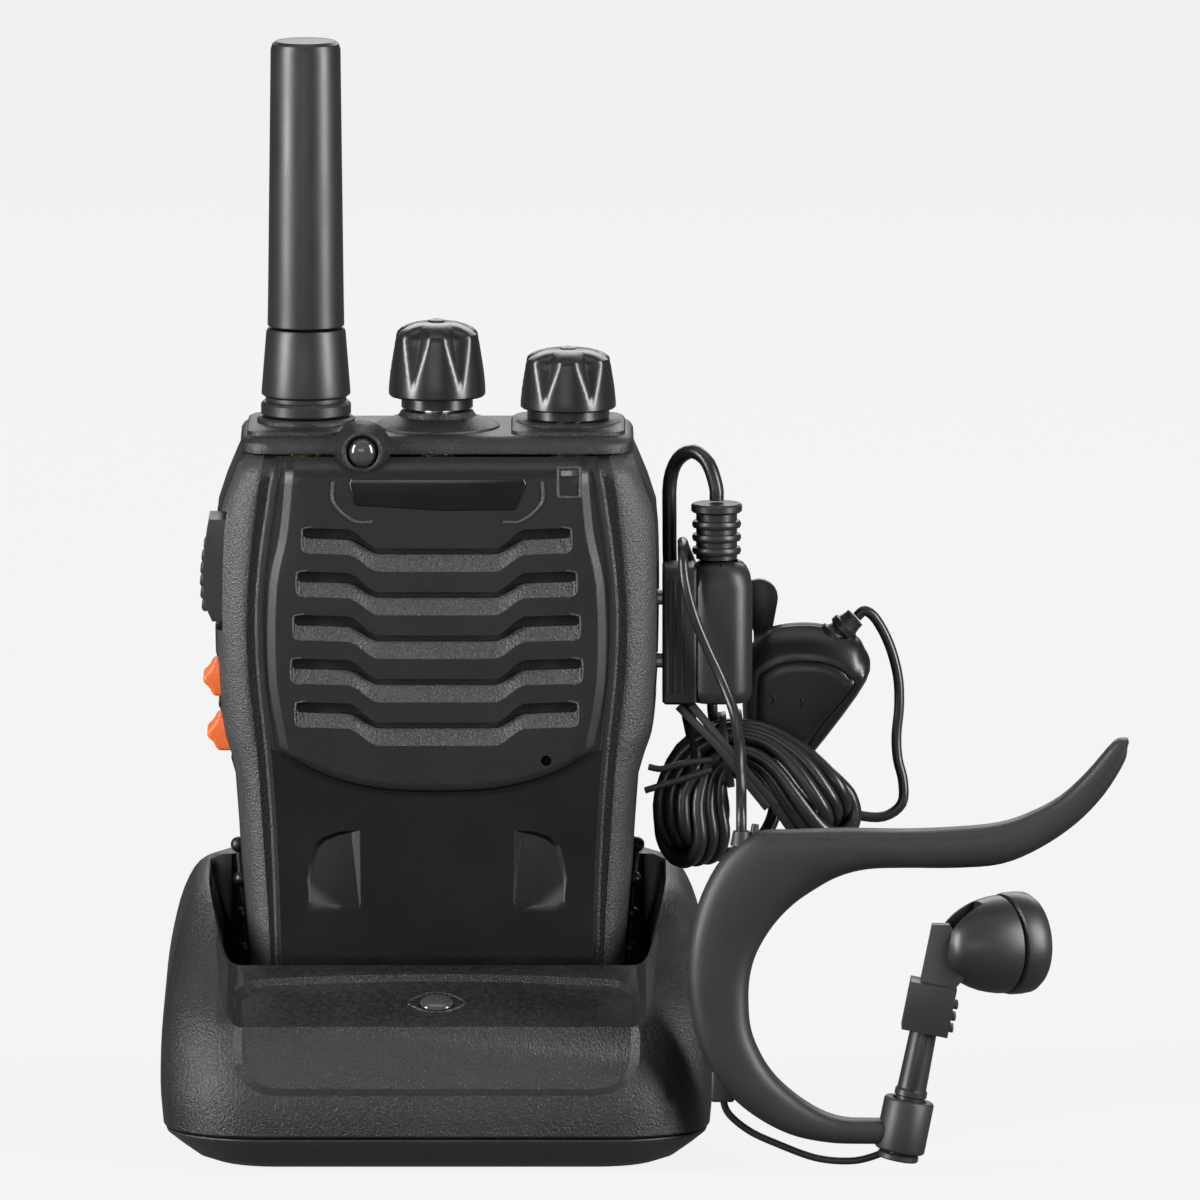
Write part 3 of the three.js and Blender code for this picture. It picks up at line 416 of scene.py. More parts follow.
GRAIN = group(
    "spark_grain",
    [("Place", "NodeSocketVector", None), ("Size", "NodeSocketFloat", 0.0004)],
    [("Height", "NodeSocketFloat"), ("Fleck", "NodeSocketFloat")],
    fill_grain,
)
HANDLING = group(
    "handling",
    [
        ("Place", "NodeSocketVector", None), ("Size", "NodeSocketFloat", 0.012),
        ("Dust", "NodeSocketFloat", 0.1)
    ],
    [("Cloud", "NodeSocketFloat"), ("Dust", "NodeSocketFloat")],
    fill_handling,
)


def finish(name, dark, light, rough, grain=0.4, depth=0.03, dust=0.12, spread=0.1, cloud=12.0, **shader):
    """Moulded plastic or rubber: colours from dark to light, a grain of that size and depth in millimetres."""
    material = bpy.data.materials.new(name)
    material.use_nodes = True
    nodes, links = material.node_tree.nodes, material.node_tree.links
    principled = nodes["Principled BSDF"]
    place = nodes.new("ShaderNodeTexCoord").outputs["Object"]
    texture = nodes.new("ShaderNodeGroup")
    texture.node_tree = GRAIN
    links.new(place, texture.inputs["Place"])
    texture.inputs["Size"].default_value = grain * MM
    worn = nodes.new("ShaderNodeGroup")
    worn.node_tree = HANDLING
    links.new(place, worn.inputs["Place"])
    worn.inputs["Size"].default_value = cloud * MM
    worn.inputs["Dust"].default_value = dust
    colour = nodes.new("ShaderNodeMix")
    colour.data_type = "RGBA"
    colour.inputs["A"].default_value = (*dark, 1)
    colour.inputs["B"].default_value = (*light, 1)
    blend = math_node(
        nodes, links, "ADD",
        math_node(nodes, links, "MULTIPLY", worn.outputs["Cloud"], 0.3),
        math_node(nodes, links, "MULTIPLY", texture.outputs["Fleck"], 0.75),
        clamp=True,
    )
    links.new(blend, colour.inputs["Factor"])
    dusted = nodes.new("ShaderNodeMix")
    dusted.data_type = "RGBA"
    dusted.inputs["B"].default_value = (0.32, 0.31, 0.3, 1)
    links.new(worn.outputs["Dust"], dusted.inputs["Factor"])
    links.new(colour.outputs["Result"], dusted.inputs["A"])
    links.new(dusted.outputs["Result"], principled.inputs["Base Color"])
    uneven = math_node(
        nodes, links, "MULTIPLY", math_node(nodes, links, "SUBTRACT", worn.outputs["Cloud"], 0.5),
        spread * 2
    )
    links.new(math_node(nodes, links, "ADD", uneven, rough, clamp=True), principled.inputs["Roughness"])
    bump = nodes.new("ShaderNodeBump")
    bump.inputs["Strength"].default_value = 1.0
    bump.inputs["Distance"].default_value = depth * MM
    links.new(texture.outputs["Height"], bump.inputs["Height"])
    links.new(bump.outputs["Normal"], principled.inputs["Normal"])
    for label, value in shader.items():
        principled.inputs[label.replace("_", " ")].default_value = value
    return material


def black(level, lift=1.5):
    """A near black and its lighter companion."""
    return dict(
        dark=(level, level * 1.02, level * 1.06),
        light=(level * lift, level * lift * 1.02, level * lift * 1.06)
    )


# Base plastic, lighter than the dock top's: painted light standing in for the floor light on the base's
# downward faces.
BASE_PAINTED_LIGHT = finish("base_textured_painted_light", **black(0.012, 2.4), rough=0.42, grain=0.42, depth=0.12, dust=0.08)
DOCK = finish("dock_textured", **black(0.0045, 2.8), rough=0.42, grain=0.42, depth=0.2, dust=0.08)
SHELL = finish("shell_textured", **black(0.006, 2.2), rough=0.4, grain=0.34, depth=0.14, dust=0.08)
# Shell plastic in a lighter colour: a painted highlight for the side bands lit by the side lights, and for the
# fine bright lines at the slots, plate and lamp.
BAND_PAINTED_HIGHLIGHT = finish("side_band_painted_highlight", **black(0.018, 2.8), rough=0.44, grain=0.4, depth=0.16, dust=0.06)
PANEL = finish("panel_satin", **black(0.0045), rough=0.38, grain=0.25, depth=0.025, dust=0.06)
GLOSS = finish("panel_smooth", **black(0.003), rough=0.26, grain=0.3, depth=0.004, dust=0.05)
# Slots' lips: real coarse texture, coloured lighter as a painted highlight where they face up to the light.
SLOT_LIP_PAINTED_LIGHT = finish("slot_lip_texture_painted_light", **black(0.012, 3.2), rough=0.45, grain=0.5, depth=0.2, dust=0.2)
KNOB = finish("knob_satin", **black(0.008), rough=0.3, grain=0.2, depth=0.006, dust=0.06)
ANTENNA = finish("antenna_rubber", **black(0.009), rough=0.4, grain=0.16, depth=0.012, dust=0.08)
KEY_RUBBER = finish("key_rubber", **black(0.012), rough=0.5, grain=0.2, depth=0.01)
ORANGE = finish(
    "key_orange", dark=(
        0.62, 0.1, 0.018
    ), light=(0.78, 0.16, 0.03), rough=0.45, grain=0.25, depth=0.012, dust=0.05
)
PLUG = finish("plug_satin", **black(0.008), rough=0.42, grain=0.35, depth=0.025, dust=0.1)
BOOT = finish("boot_rubber", **black(0.008), rough=0.42, grain=0.25, depth=0.01, dust=0.1)
MIC = finish("mic_box_smooth", **black(0.0035), rough=0.34, grain=0.25, depth=0.006, dust=0.06)
HOOK = finish("hook_rubber", **black(0.011, 1.4), rough=0.5, grain=0.5, depth=0.014, dust=0.1, cloud=7)
BUD_PLASTIC = finish("bud_satin", **black(0.013), rough=0.4, grain=0.25, depth=0.008, dust=0.08)
JACKET = finish("cord_jacket", **black(0.008), rough=0.33, grain=0.3, depth=0.006, dust=0.05)
STRAP = finish("strap_plastic", **black(0.009), rough=0.38, grain=0.3, depth=0.008, dust=0.08)
FEET = finish("foot_rubber", **black(0.02), rough=0.7, grain=0.5, depth=0.03)
CLOTH = finish("speaker_cloth", **black(0.006), rough=0.9, grain=0.18, depth=0.05, dust=0.02)
BOARD = finish(
    "solder_mask", dark=(0.01, 0.09, 0.03), light=(0.02, 0.16, 0.06), rough=0.35, grain=0.8, depth=0.02
)
WRAP = finish(
    "cell_wrap", dark=(0.05, 0.09, 0.16), light=(0.08, 0.13, 0.22), rough=0.3, grain=1.2, depth=0.02
)
STEEL = finish(
    "plated_steel", dark=(0.5, 0.5, 0.51), light=(
        0.66, 0.66, 0.68
    ), rough=0.28, grain=0.3, depth=0.006, dust=0.02, Metallic=1.0
)
BRASS = finish(
    "plated_brass", dark=(
        0.62, 0.44, 0.16
    ), light=(0.82, 0.64, 0.3), rough=0.26, grain=0.3, depth=0.006, dust=0.02, Metallic=1.0
)
LENS = finish(
    "clear_lens", dark=(0.8, 0.83, 0.86), light=(
        0.93, 0.95, 0.97
    ), rough=0.06, grain=0.6, depth=0.002, dust=0.0, spread=0.02,
    IOR=1.49, Transmission_Weight=0.85,
)
LAMP = finish(
    "lamp_window", dark=(
        0.03, 0.032, 0.034
    ), light=(0.05, 0.052, 0.055), rough=0.14, grain=0.5, depth=0.004, dust=0.02, spread=0.03,
    IOR=1.49, Coat_Weight=0.4,
)


# ---------------------------------------------------------------- camera and light
def camera():
    """Level with the radio's front and 8 degrees above it, from far away, 180 mm wide at the object."""
    data = bpy.data.cameras.new("view")
    data.sensor_width = 36
    data.lens = 900
    data.clip_end = 60
    far = data.lens / data.sensor_width * 0.18
    aim = Vector((24.6, -34, 86.4)) * MM
    tilt = math.radians(8)
    obj = bpy.data.objects.new("view", data)
    obj.location = aim + far * Vector((0, -math.cos(tilt), math.sin(tilt)))
    obj.rotation_euler = (math.radians(90) - tilt, 0, 0)
    bpy.context.scene.collection.objects.link(obj)
    bpy.context.scene.camera = obj


def softbox(name, place, aim, width, height, watts, colour=(1, 1, 1)):
    data = bpy.data.lights.new(name, "AREA")
    data.shape = "RECTANGLE"
    data.size, data.size_y = width, height
    data.energy = watts
    data.color = colour
    obj = bpy.data.objects.new(name, data)
    obj.location = place
    obj.rotation_euler = (Vector(place) - Vector(aim)).to_track_quat("Z", "Y").to_euler()
    obj.visible_camera = False
    bpy.context.scene.collection.objects.link(obj)


def studio():
    """Pale floor, two tall side lights, a large top light and a dim surround."""
    bm = bmesh.new()
    bmesh.ops.create_grid(bm, x_segments=1, y_segments=1, size=9)
    mesh = bpy.data.meshes.new("floor")
    bm.to_mesh(mesh)
    bm.free()
    floor = bpy.data.objects.new("floor", mesh)
    bpy.context.scene.collection.objects.link(floor)
    pale = bpy.data.materials.new("pale_floor")
    pale.use_nodes = True
    shader = pale.node_tree.nodes["Principled BSDF"]
    shader.inputs["Base Color"].default_value = (0.03, 0.03, 0.03, 1)
    shader.inputs["Roughness"].default_value = 1.0
    shader.inputs["Specular IOR Level"].default_value = 0.0
    shader.inputs["Emission Color"].default_value = (1, 1, 1, 1)
    seen = pale.node_tree.nodes.new("ShaderNodeLightPath").outputs["Is Camera Ray"]
    nodes, links = pale.node_tree.nodes, pale.node_tree.links
    glow = math_node(
        nodes, links, "ADD", math_node(nodes, links, "MULTIPLY", seen, FLOOR_SEEN - FLOOR_GLOW), FLOOR_GLOW
    )
    links.new(glow, shader.inputs["Emission Strength"])
    mesh.materials.append(pale)
    world = bpy.data.worlds.new("surround")
    world.use_nodes = True
    world.node_tree.nodes["Background"].inputs["Color"].default_value = (1, 1, 1, 1)
    world.node_tree.nodes["Background"].inputs["Strength"].default_value = WORLD_LIGHT
    bpy.context.scene.world = world
    bpy.context.scene.view_settings.view_transform = "Standard"
    middle = (0.025, -0.01, 0.08)
    softbox("left_light", (-0.8, -0.42, 0.25), middle, 0.2, 0.9, 19)
    softbox("right_light", (0.8, -0.42, 0.25), middle, 0.2, 0.9, 17)
    softbox("front_light", (-0.15, -1.3, 0.3), middle, 0.7, 0.3, 2)
    softbox("top_light", (0.0, -0.1, 1.1), middle, 0.9, 0.5, 1.8)
    softbox("back_light", (0.1, 0.9, 0.6), middle, 0.9, 0.5, 5)


FLOOR_SEEN = 0.87  # brightness of the ground as the camera sees it
FLOOR_GLOW = 0.14  # and as the object does
WORLD_LIGHT = 0.07

camera()
studio()


# ---------------------------------------------------------------- cords
PLUG_LEAD = [
    (42.2, -5, 97.5), (42.1, -4.9, 99.6), (40.9, -3.7, 103), (38.7, -1.6, 104.5), (36.4, 0.7, 103),
    (35.2, 1.9, 99.6), (35.1, 2, 94), (35.2, 2, 86), (35.8, 2, 78), (36.6, 1.6, 72), (37.5, 0.6, 67.6), (
        38.1, -1.8, 63.8
    ),
]
BOX_LEAD = [(46, 4.6, 42.6), (49.2, 6.6, 44.4), (50.9, 8.1, 47.4), (51.2, 8.5, 50.4), (51.2, 8.5, 53.4)]
MIC_WIRE = [
    (63.5, 7.6, 78), (
        64.7, 7.6, 78.9
    ), (66.4, 7.6, 77.6), (68.4, 7.4, 73.8), (69.7, 7.2, 69), (69.9, 7, 64.4),
    (69.5, 6.8, 60), (
        69.7, 6.6, 56.4
    ), (70.5, 6.4, 53), (70.3, 6.2, 49.6), (67.6, 5.8, 47.7), (63.6, 5.2, 48),
    (59.6, 4.7, 49.4),
]
BEHIND_HANK = [
    (55.8, 4.5, 50.6), (51.8, 4.1, 51.6), (48.2, 3.5, 52.6), (45.2, 3, 54.8), (43.4, 2.8, 58),
    (42.2, 2.2, 61.4)
]
HOOK_LEAD = [
    (
        41.6, 1.6, 64.6
    ), (41.6, 1.6, 68.4), (41.4, 1.4, 73), (40.7, 1.2, 79), (39.2, 1.2, 84.8), (37.6, 0.2, 89),
    (37.1, -2.8, 90.8), (37.1, -6.6, 90.9), (37.1, -10, 89.4), (37.5, -11.3, 85.6), (38.8, -11.4, 80.8),
    (40.7, -11.4, 76), (43.2, -12, 70.6), (45, -14.4, 65.8), (45.6, -19.4, 61.8), (45.7, -26, 59.6),
    (45.8, -32.6, 58.6), (45.8, -37.6, 57), (45.8, -40, 54.4), (45.8, -40.2, 51.6),
]
BUD_LEAD = [
    (43, HOOK_Y, 14.2), (43.1, HOOK_Y, 11.6), (44, HOOK_Y, 9.3), (47, HOOK_Y, 6.8), (51, HOOK_Y, 4.9),
    (56.9, HOOK_Y, 2.7), (62, HOOK_Y, 2.2), (65.6, HOOK_Y, 2.9), (68.9, HOOK_Y, 4.4),
]
LEAD, WIRE, BUD_WIRE = 2.2, 1.6, 1.1  # diameters
HANK_Y = -2.75
HANK_LINE = [(38.5, 48.4), (38.4, 53), (40.6, 58), (45.7, 60.2), (50.8, 58), (54.2, 54.5), (57.2, 50.8)]
HANK_FOLD = 4.8  # radius of its folds
HANK_TURN = math.radians(52)  # how far a fold is turned out of the hank's plane
WAIST = 3.0  # its place along HANK_LINE


def hank_point(along, side, strand, way):
    """Point of the hank: place along its line, side in widths of a fold, strand and the way it is turned."""
    line = spline([(x, HANK_Y, z) for x, z in HANK_LINE], 12)
    last = len(HANK_LINE) - 1
    at = min(max(along, 0.0), last) * 12
    i = min(int(at), len(line) - 2)
    middle = line[i].lerp(line[i + 1], at - i)
    ahead = (line[i + 1] - line[i]).normalized()
    outward = Vector((-ahead.z, 0, ahead.x))
    squeeze = 1 - 0.42 * fade(abs(along - WAIST), 0, 2.8)
    across = Vector((math.cos(HANK_TURN), way * math.sin(HANK_TURN)))
    beside = Vector((-way * math.sin(HANK_TURN), math.cos(HANK_TURN)))
    place = (across * side * HANK_FOLD + beside * strand * LEAD) * squeeze
    away = ahead * (-1 if along < WAIST else 1)
    beyond = max(0.0, -along, along - last) + 1.2 * way * (1 - fade(abs(along - WAIST), 0.8, 3.0))
    return middle + outward * place.x + Vector((0, place.y, 0)) + away * beyond


def fold(end, strand, way):
    """Points of the fold beyond one end of the hank's line."""
    turns = [math.pi * step / 7 for step in range(1, 7)]
    if end:
        return [
            hank_point(len(HANK_LINE) - 1 + HANK_FOLD * math.sin(t), -math.cos(t), strand, way)
            for t in turns
        ]
    return [hank_point(-HANK_FOLD * math.sin(t), math.cos(t), strand, way) for t in turns]


def hank():
    """Six turns folded into two lobes, three one way and three the other across the folds, and a way out."""
    legs = [0.0, 0.9, 1.8, 2.6, 3.4, 4.2, 5.1, 6.0]
    order = [(way, strand) for way in (-1, 1) for strand in (-1, 0, 1)] + [(1, 2)]
    points = []
    for k, (way, strand) in enumerate(order[:-1]):
        points += [hank_point(a, 1, strand, way) for a in reversed(legs[: 4 if k else 3])]
        points += fold(0, strand, way)
        points += [hank_point(a, -1, strand, way) for a in legs]
        points += fold(1, strand, way)
        next_way, next_strand = order[k + 1]
        for i, a in enumerate(reversed(legs[4:])):
            points.append(hank_point(a, 1, strand, way).lerp(hank_point(a, 1, next_strand, next_way), i / 4))
    way, strand = order[-1]
    points += [hank_point(a, 1, strand, way) for a in reversed(legs[:4])]
    return [*points[:-1], Vector((39, 3.9, 45)), Vector((42, 4.2, 42.2))]


def cord(name, points, diameter, nodes, steps=3):
    """Round cord along a smooth line through its points."""
    curve = bpy.data.curves.new(name, "CURVE")
    curve.dimensions = "3D"
    curve.bevel_depth = diameter / 2 * MM
    curve.bevel_resolution = 3
    curve.use_fill_caps = True
    line = spline(points, steps)
    track = curve.splines.new("POLY")
    track.points.add(len(line) - 1)
    for place, p in zip(track.points, line):
        place.co = (*(p * MM), 1)
    track.use_smooth = True
    curve.materials.append(JACKET)
    obj = bpy.data.objects.new(name, curve)
    bpy.context.scene.collection.objects.link(obj)
    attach(obj, "earpiece")
    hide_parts(*nodes)
    return obj


cord("lead", [*PLUG_LEAD, *hank(), *BOX_LEAD], LEAD, ["plug_lead", "lead_hank", "box_lead"])
cord("wire", [*MIC_WIRE, *BEHIND_HANK, *HOOK_LEAD], WIRE, ["mic_wire", "hook_lead"], 4)
cord("bud_wire", BUD_LEAD, BUD_WIRE, ["bud_lead"], 6)


# ---------------------------------------------------------------- radio: front shell
HALF_WIDTH = [
    (
        8.2, 27.6
    ), (30, 28.6), (45, 29.7), (56, 30.4), (59, 31.2), (63, 32.5), (70, 33.2), (80, 33.5), (90, 33.5),
    (96, 33.1), (100, 31.8), (102.4, 30.8), (103.6, 30.3), (105.2, 29.6),
]
FRONT_FACE = [
    (8.2, -14.2), (12, -15.4), (30, -16), (102.4, -16), (103.6, -15.4), (104.6, -14.2), (105.2, -13)
]
EDGE_LINE = [
    (8.2, 23), (31, 23.4), (47, 23.9), (60, 24.8), (74.7, 26.2), (86.3, 26.1), (100.8, 24.2), (105.2, 23.4)
]
RIDGE = [
    (8.2, 24.9), (31, 25.2), (47, 26.2), (60, 27.1), (74.7, 28.6), (86.3, 28.4), (100.8, 26.9), (105.2, 26)
]
PANEL_EDGE = [
    (8.2, 21), (48, 21.6), (58, 22.3), (61.9, 23.1), (71.7, 24.7), (86.3, 24.6), (93.5, 23.1), (105.2, 22)
]
PANEL_FOOT = [(0, 54.7), (6.8, 54.9), (12.9, 55.9), (17.4, 57.4), (21, 59.2), (24, 61), (40, 61.6)]
SLOT_END = [(64, 20.9), (71, 21.7), (78, 21.4), (84, 21.0), (93, 19.9)]
SHELL_BACK = 2.0
SHELL_WALL = 1.5
ROWS = [
    8.2, 9.6, 12, 17, 23, 30, 36, 42, 47, 50.5, 52.6, 53.6, 54.1, 54.5, 54.9, 55.3, 56, 57.2, 59.4, 62, 65,
    68
]
ROWS += [
    71, 74, 77, 80, 83, 86, 89, 91.5, 93.5, 95.5, 97.5, 99.5, 101.2, 102.4, 103, 103.6, 104.1, 104.6, 105.2
]


def front_columns(z):
    """Distance from the middle and depth of each column, on half of a level cut through the front shell."""
    front = straight(FRONT_FACE, z)
    wide = eased(HALF_WIDTH, z)
    edge, ridge, panel = eased(EDGE_LINE, z), eased(RIDGE, z), eased(PANEL_EDGE, z)
    slant = wide - ridge
    columns = [(x, front) for x in (0, 3, 6, 9, 12, 15, 18, 20)]
    columns += [(panel - 0.8, front), (panel - 0.5, front + 0.08), (panel + 0.5, front + 0.74)]
    columns += [
        (panel + 0.8, front + 0.82), (edge - 0.3, front + 0.86), (edge - 0.12, front + 0.6),
        (edge + 0.12, front + 0.64)
    ]
    columns += [(edge + 0.3, front + 1.1)]
    columns += [(edge + 0.7, front + 1.95), (edge + 1.1, front + 2.15), (ridge - 0.25, front + 2.1)]
    columns += [
        (ridge, front + 2.04), (ridge + 0.15 * slant, front + 2.2), (ridge + 0.5 * slant, front + 3.2)
    ]
    columns += [
        (ridge + 0.76 * slant, front + 4.5), (wide - 0.08 * slant, front + 6.1), (wide - 0.02, front + 8.4)
    ]
    columns += [(wide, front + 10.5), (wide, (front + 10.5 + SHELL_BACK) / 2), (wide, SHELL_BACK)]
    return columns


def front_place(column, row):
    """Place on the front shell: the rows bend along the foot of the speaker panel, which ends there."""
    level = row
    for _ in range(2):
        x = front_columns(level)[column][0]
        level = row + (eased(PANEL_FOOT, x) - 54.7) * (1 - fade(row, 42, 53)) * fade(row, 56, 68)
    columns = front_columns(level)
    x, depth = columns[column]
    low = fade(level, eased(PANEL_FOOT, x) - 0.45, eased(PANEL_FOOT, x) + 0.45)
    lowered = columns[0][1] + BARREL_STEP + 0.06 * low
    return x, depth + max(0.0, lowered - depth) * low, level


def slot_middle(x):
    """How far a slot runs below the height of its ends at x."""
    return SLOT_RISE * fade(abs(x), 8.8, 13.4) + 0.25 * fade(abs(x), 13.4, 20)


def slot(i):
    """One speaker slot: a rough lip slopes in to its opening, which is taller toward the ends."""
    top = SLOT_TOP + SLOT_RISE + 0.25 - i * SLOT_PITCH
    end = eased(SLOT_END, top - 3)
    steps = [0, 4, 8, 9.2, 10.3, 11.2, 12.1, 13.2, 16, end - 0.3, end]
    across = [-x for x in reversed(steps[1:])] + steps

    def ring(depth, foot):
        over = [(x, depth, top - slot_middle(x) - (0.25 if abs(x) == end else 0)) for x in across]
        under = [
            (
                x, depth, top - slot_middle(x) - (foot(abs(x))) + (0.3 if abs(x) == end else 0)
            ) for x in reversed(across)
        ]
        return over + under

    def lip(x):
        return 3.55 + 0.3 * (1 - fade(x, 9, 13.4))

    def sill(x):
        return 1.05 + 0.7 * (1 - fade(x, 9, 13.4))

    front = FRONT_FACE[3][1]
    return lofted(
        [ring(front - 0.6, lip), ring(front + 0.05, lip), ring(front + 1.05, sill), ring(front + 3, sill)]
    )


def finger_mark(side):
    """Shallow hollow in the lower panel: deepest at its top inner corner and gone at its foot."""
    around = [
        (-11.6, 48.7), (-14.8, 48.5), (-17.2, 47.7), (-18.5, 46.5), (-19.2, 44.4), (-19.7, 41.4),
        (-19.6, 37.6)
    ]
    around += [(-11.4, 36.8)]
    inner = [
        (-12.9, 48.2), (-14.9, 47.8), (-16.8, 47), (-17.9, 45.9), (-18.6, 44), (-19.1, 41.2), (-19.1, 37.8)
    ]
    inner += [(-11.7, 36.9)]
    front = FRONT_FACE[3][1] + BARREL_STEP

    def ring(points, low):
        return [(side * x, front + low * max(0.06, (z - 36.6) / 12), z) for x, z in points]

    return lofted([ring(around, -1.2), ring(around, 0.04), ring(inner, 0.85)])


def front_shell():
    """Moulded front: a raised speaker panel with five slots, a fine edge line and textured side bands; the
    side bands and the slots' upward lips get lighter colours as painted highlights.
    """
    last = len(front_columns(80)) - 1
    rows = len(ROWS) - 1
    bm = bmesh.new()
    bmesh.ops.create_grid(bm, x_segments=2 * last, y_segments=rows, size=1)
    for v in bm.verts:
        i = round((v.co.x + 1) * last) - last
        x, depth, level = front_place(abs(i), ROWS[round((v.co.y + 1) / 2 * rows)])
        v.co = (math.copysign(x, i), depth, level)
    for f in bm.faces:
        f.smooth = True
    if sum(f.normal.y for f in bm.faces if abs(f.calc_center_median().x) < 10) > 0:
        bmesh.ops.reverse_faces(bm, faces=bm.faces)
    shell = scratch(bm, closed=False)
    step = shell.modifiers.new("wall", "SOLIDIFY")
    step.thickness = SHELL_WALL
    step.offset = -1
    cut = [slot(i) for i in range(SLOT_COUNT)] + [finger_mark(1), finger_mark(-1)]
    cut.append(rod((16.5, -20, 59.4), (16.5, -10, 59.4), 0.8))
    for node, low, high in (
        ("ptt_key", -45, -20), ("side_key_upper", -45, -20), ("side_key_lower", -45, -20)
    ):
        a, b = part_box(node)
        cut.append(block(low, high, a.y / MM - 0.3, min(b.y / MM + 0.3, 1.4), a.z / MM - 0.3, b.z / MM + 0.3))
    cut.append(block(25, 40, -9.3, -0.7, 68.7, 87.3))
    body = carved(taken(shell), *cut)
    assign(body, lambda f: shell_finish(f.calc_center_median(), f.normal))
    piece(
        "front_shell_piece", body, [SHELL, PANEL, GLOSS, SLOT_LIP_PAINTED_LIGHT, BAND_PAINTED_HIGHLIGHT], "radio", "body_shell", "front_shell",
        smooth=26
    )


def shell_finish(place, normal):
    """Finish of a face: 0 sides, 1 satin panel, 2 smooth lower panel, 3 slots' rough lips with a painted
    highlight, 4 side bands with a painted highlight.
    """
    x, y, z = abs(place.x), place.y, place.z
    foot = eased(PANEL_FOOT, x)
    if x < eased(
        PANEL_EDGE, z
    ) - 1 and foot < z < 97 and -16.02 < y < -14.4 and normal.z > 0.2 and normal.y < -0.2:
        return 3
    if x > eased(RIDGE, z) - 0.1 and y < -9.5:
        return 4
    if x > eased(EDGE_LINE, z) + 0.15:
        return 0
    return 1 if z > foot - 0.2 else 2


def assign(bm, choose):
    """Material of each face."""
    for f in bm.faces:
        f.material_index = choose(f)


front_shell()


# ---------------------------------------------------------------- radio: deck, plate, lamps
def deck():
    """Top deck: two plateaus, a seat round the antenna and round each knob."""
    level = [(105.45, 29.7, -12.2, 14.4, 5), (106.9, 29.6, -11.9, 14.2, 5), (107.6, 29.2, -11.3, 13.7, 4.8)]
    level += [(108, 28.6, -10.6, 13, 4.4)]
    body = softened(lofted([outline(h, f, b, r, r, z) for z, h, f, b, r in level]), 0.35, 2, 30)
    left = [outline_at(-21.2, 7.6, -10.4, 12.6, 3.4, 107.4), outline_at(-21.2, 7.3, -10.0, 12.3, 3.2, 108.5)]
    left += [outline_at(-21.2, 6.7, -9.4, 11.8, 2.8, 108.8)]
    right = [outline_at(19.8, 8.9, -10.4, 12.6, 3.4, 107.4), outline_at(19.8, 8.4, -10.0, 12.3, 3.2, 108.5)]
    right += [outline_at(19.8, 7.8, -9.4, 11.8, 2.8, 108.8)]
    seats = [
        (
            VOLUME_X,
            [(0, 107), (9.6, 107), (9.4, 108.3), (8.6, 108.8), (5.9, 109.7), (5.4, 110.5), (0, 110.5)]
        ),
        (ANTENNA_X, [(0, 107), (7.4, 107), (7.4, 109.3), (7.1, 109.6), (0, 109.6)]),
        (CHANNEL_X, [(0, 107), (8, 107), (7.9, 108.9), (7.5, 109.2), (0, 109.2)]),
    ]
    body = carved(body, lofted(left), lofted(right), how="UNION")
    body = carved(body, *(moved(turned(p), (x, AXIS_Y, 0)) for x, p in seats), how="UNION")
    holes = [
        rod((ANTENNA_X, AXIS_Y, 107.5), (ANTENNA_X, AXIS_Y, 112), 3.4),
        rod((VOLUME_X, AXIS_Y, 107.5), (VOLUME_X, AXIS_Y, 112), 3.4)
    ]
    holes.append(rod((CHANNEL_X, AXIS_Y, 107.5), (CHANNEL_X, AXIS_Y, 112), 3.4))
    piece("deck_piece", carved(body, *holes), SHELL, "radio", "body_dark", "top_deck")


def outline_at(x, half, front, back, r, z):
    return [(px + x, py, pz) for px, py, pz in outline(half, front, back, r, r, z)]


def torch():
    """Small light in the top edge: a domed lens in a conical seat."""
    place = (-11.2, 0, 106.2)
    seat = turned(
        [(2.45, 0.6), (2.75, 0.25), (3.1, 0.35), (4.1, 2.4), (4.4, 4.6), (2.45, 4.6), (2.45, 0.6)], 48
    )
    seat = moved(rotated(seat, -90, "X"), (place[0], -16, place[2]))
    piece("torch_seat", seat, SHELL, "radio", "body_dark")
    lens = turned([(0, -0.55), (0.9, -0.45), (1.7, -0.05), (2.2, 0.6), (2.3, 1.1), (2.3, 5.2), (0, 5.2)], 40)
    lens = moved(rotated(lens, -90, "X"), (place[0], -15.5, place[2]))
    piece("torch_lens_piece", lens, LAMP, "radio", "clear_lens", "torch_lens")
    cup = turned([(0, 1.2), (0.5, 1.1), (2.1, -0.9), (2.15, -0.7), (0.6, 1.6), (0, 1.7)], 32)
    piece("torch_cup", moved(rotated(cup, -90, "X"), (place[0], -14.2, place[2])), STEEL, "radio", "steel")


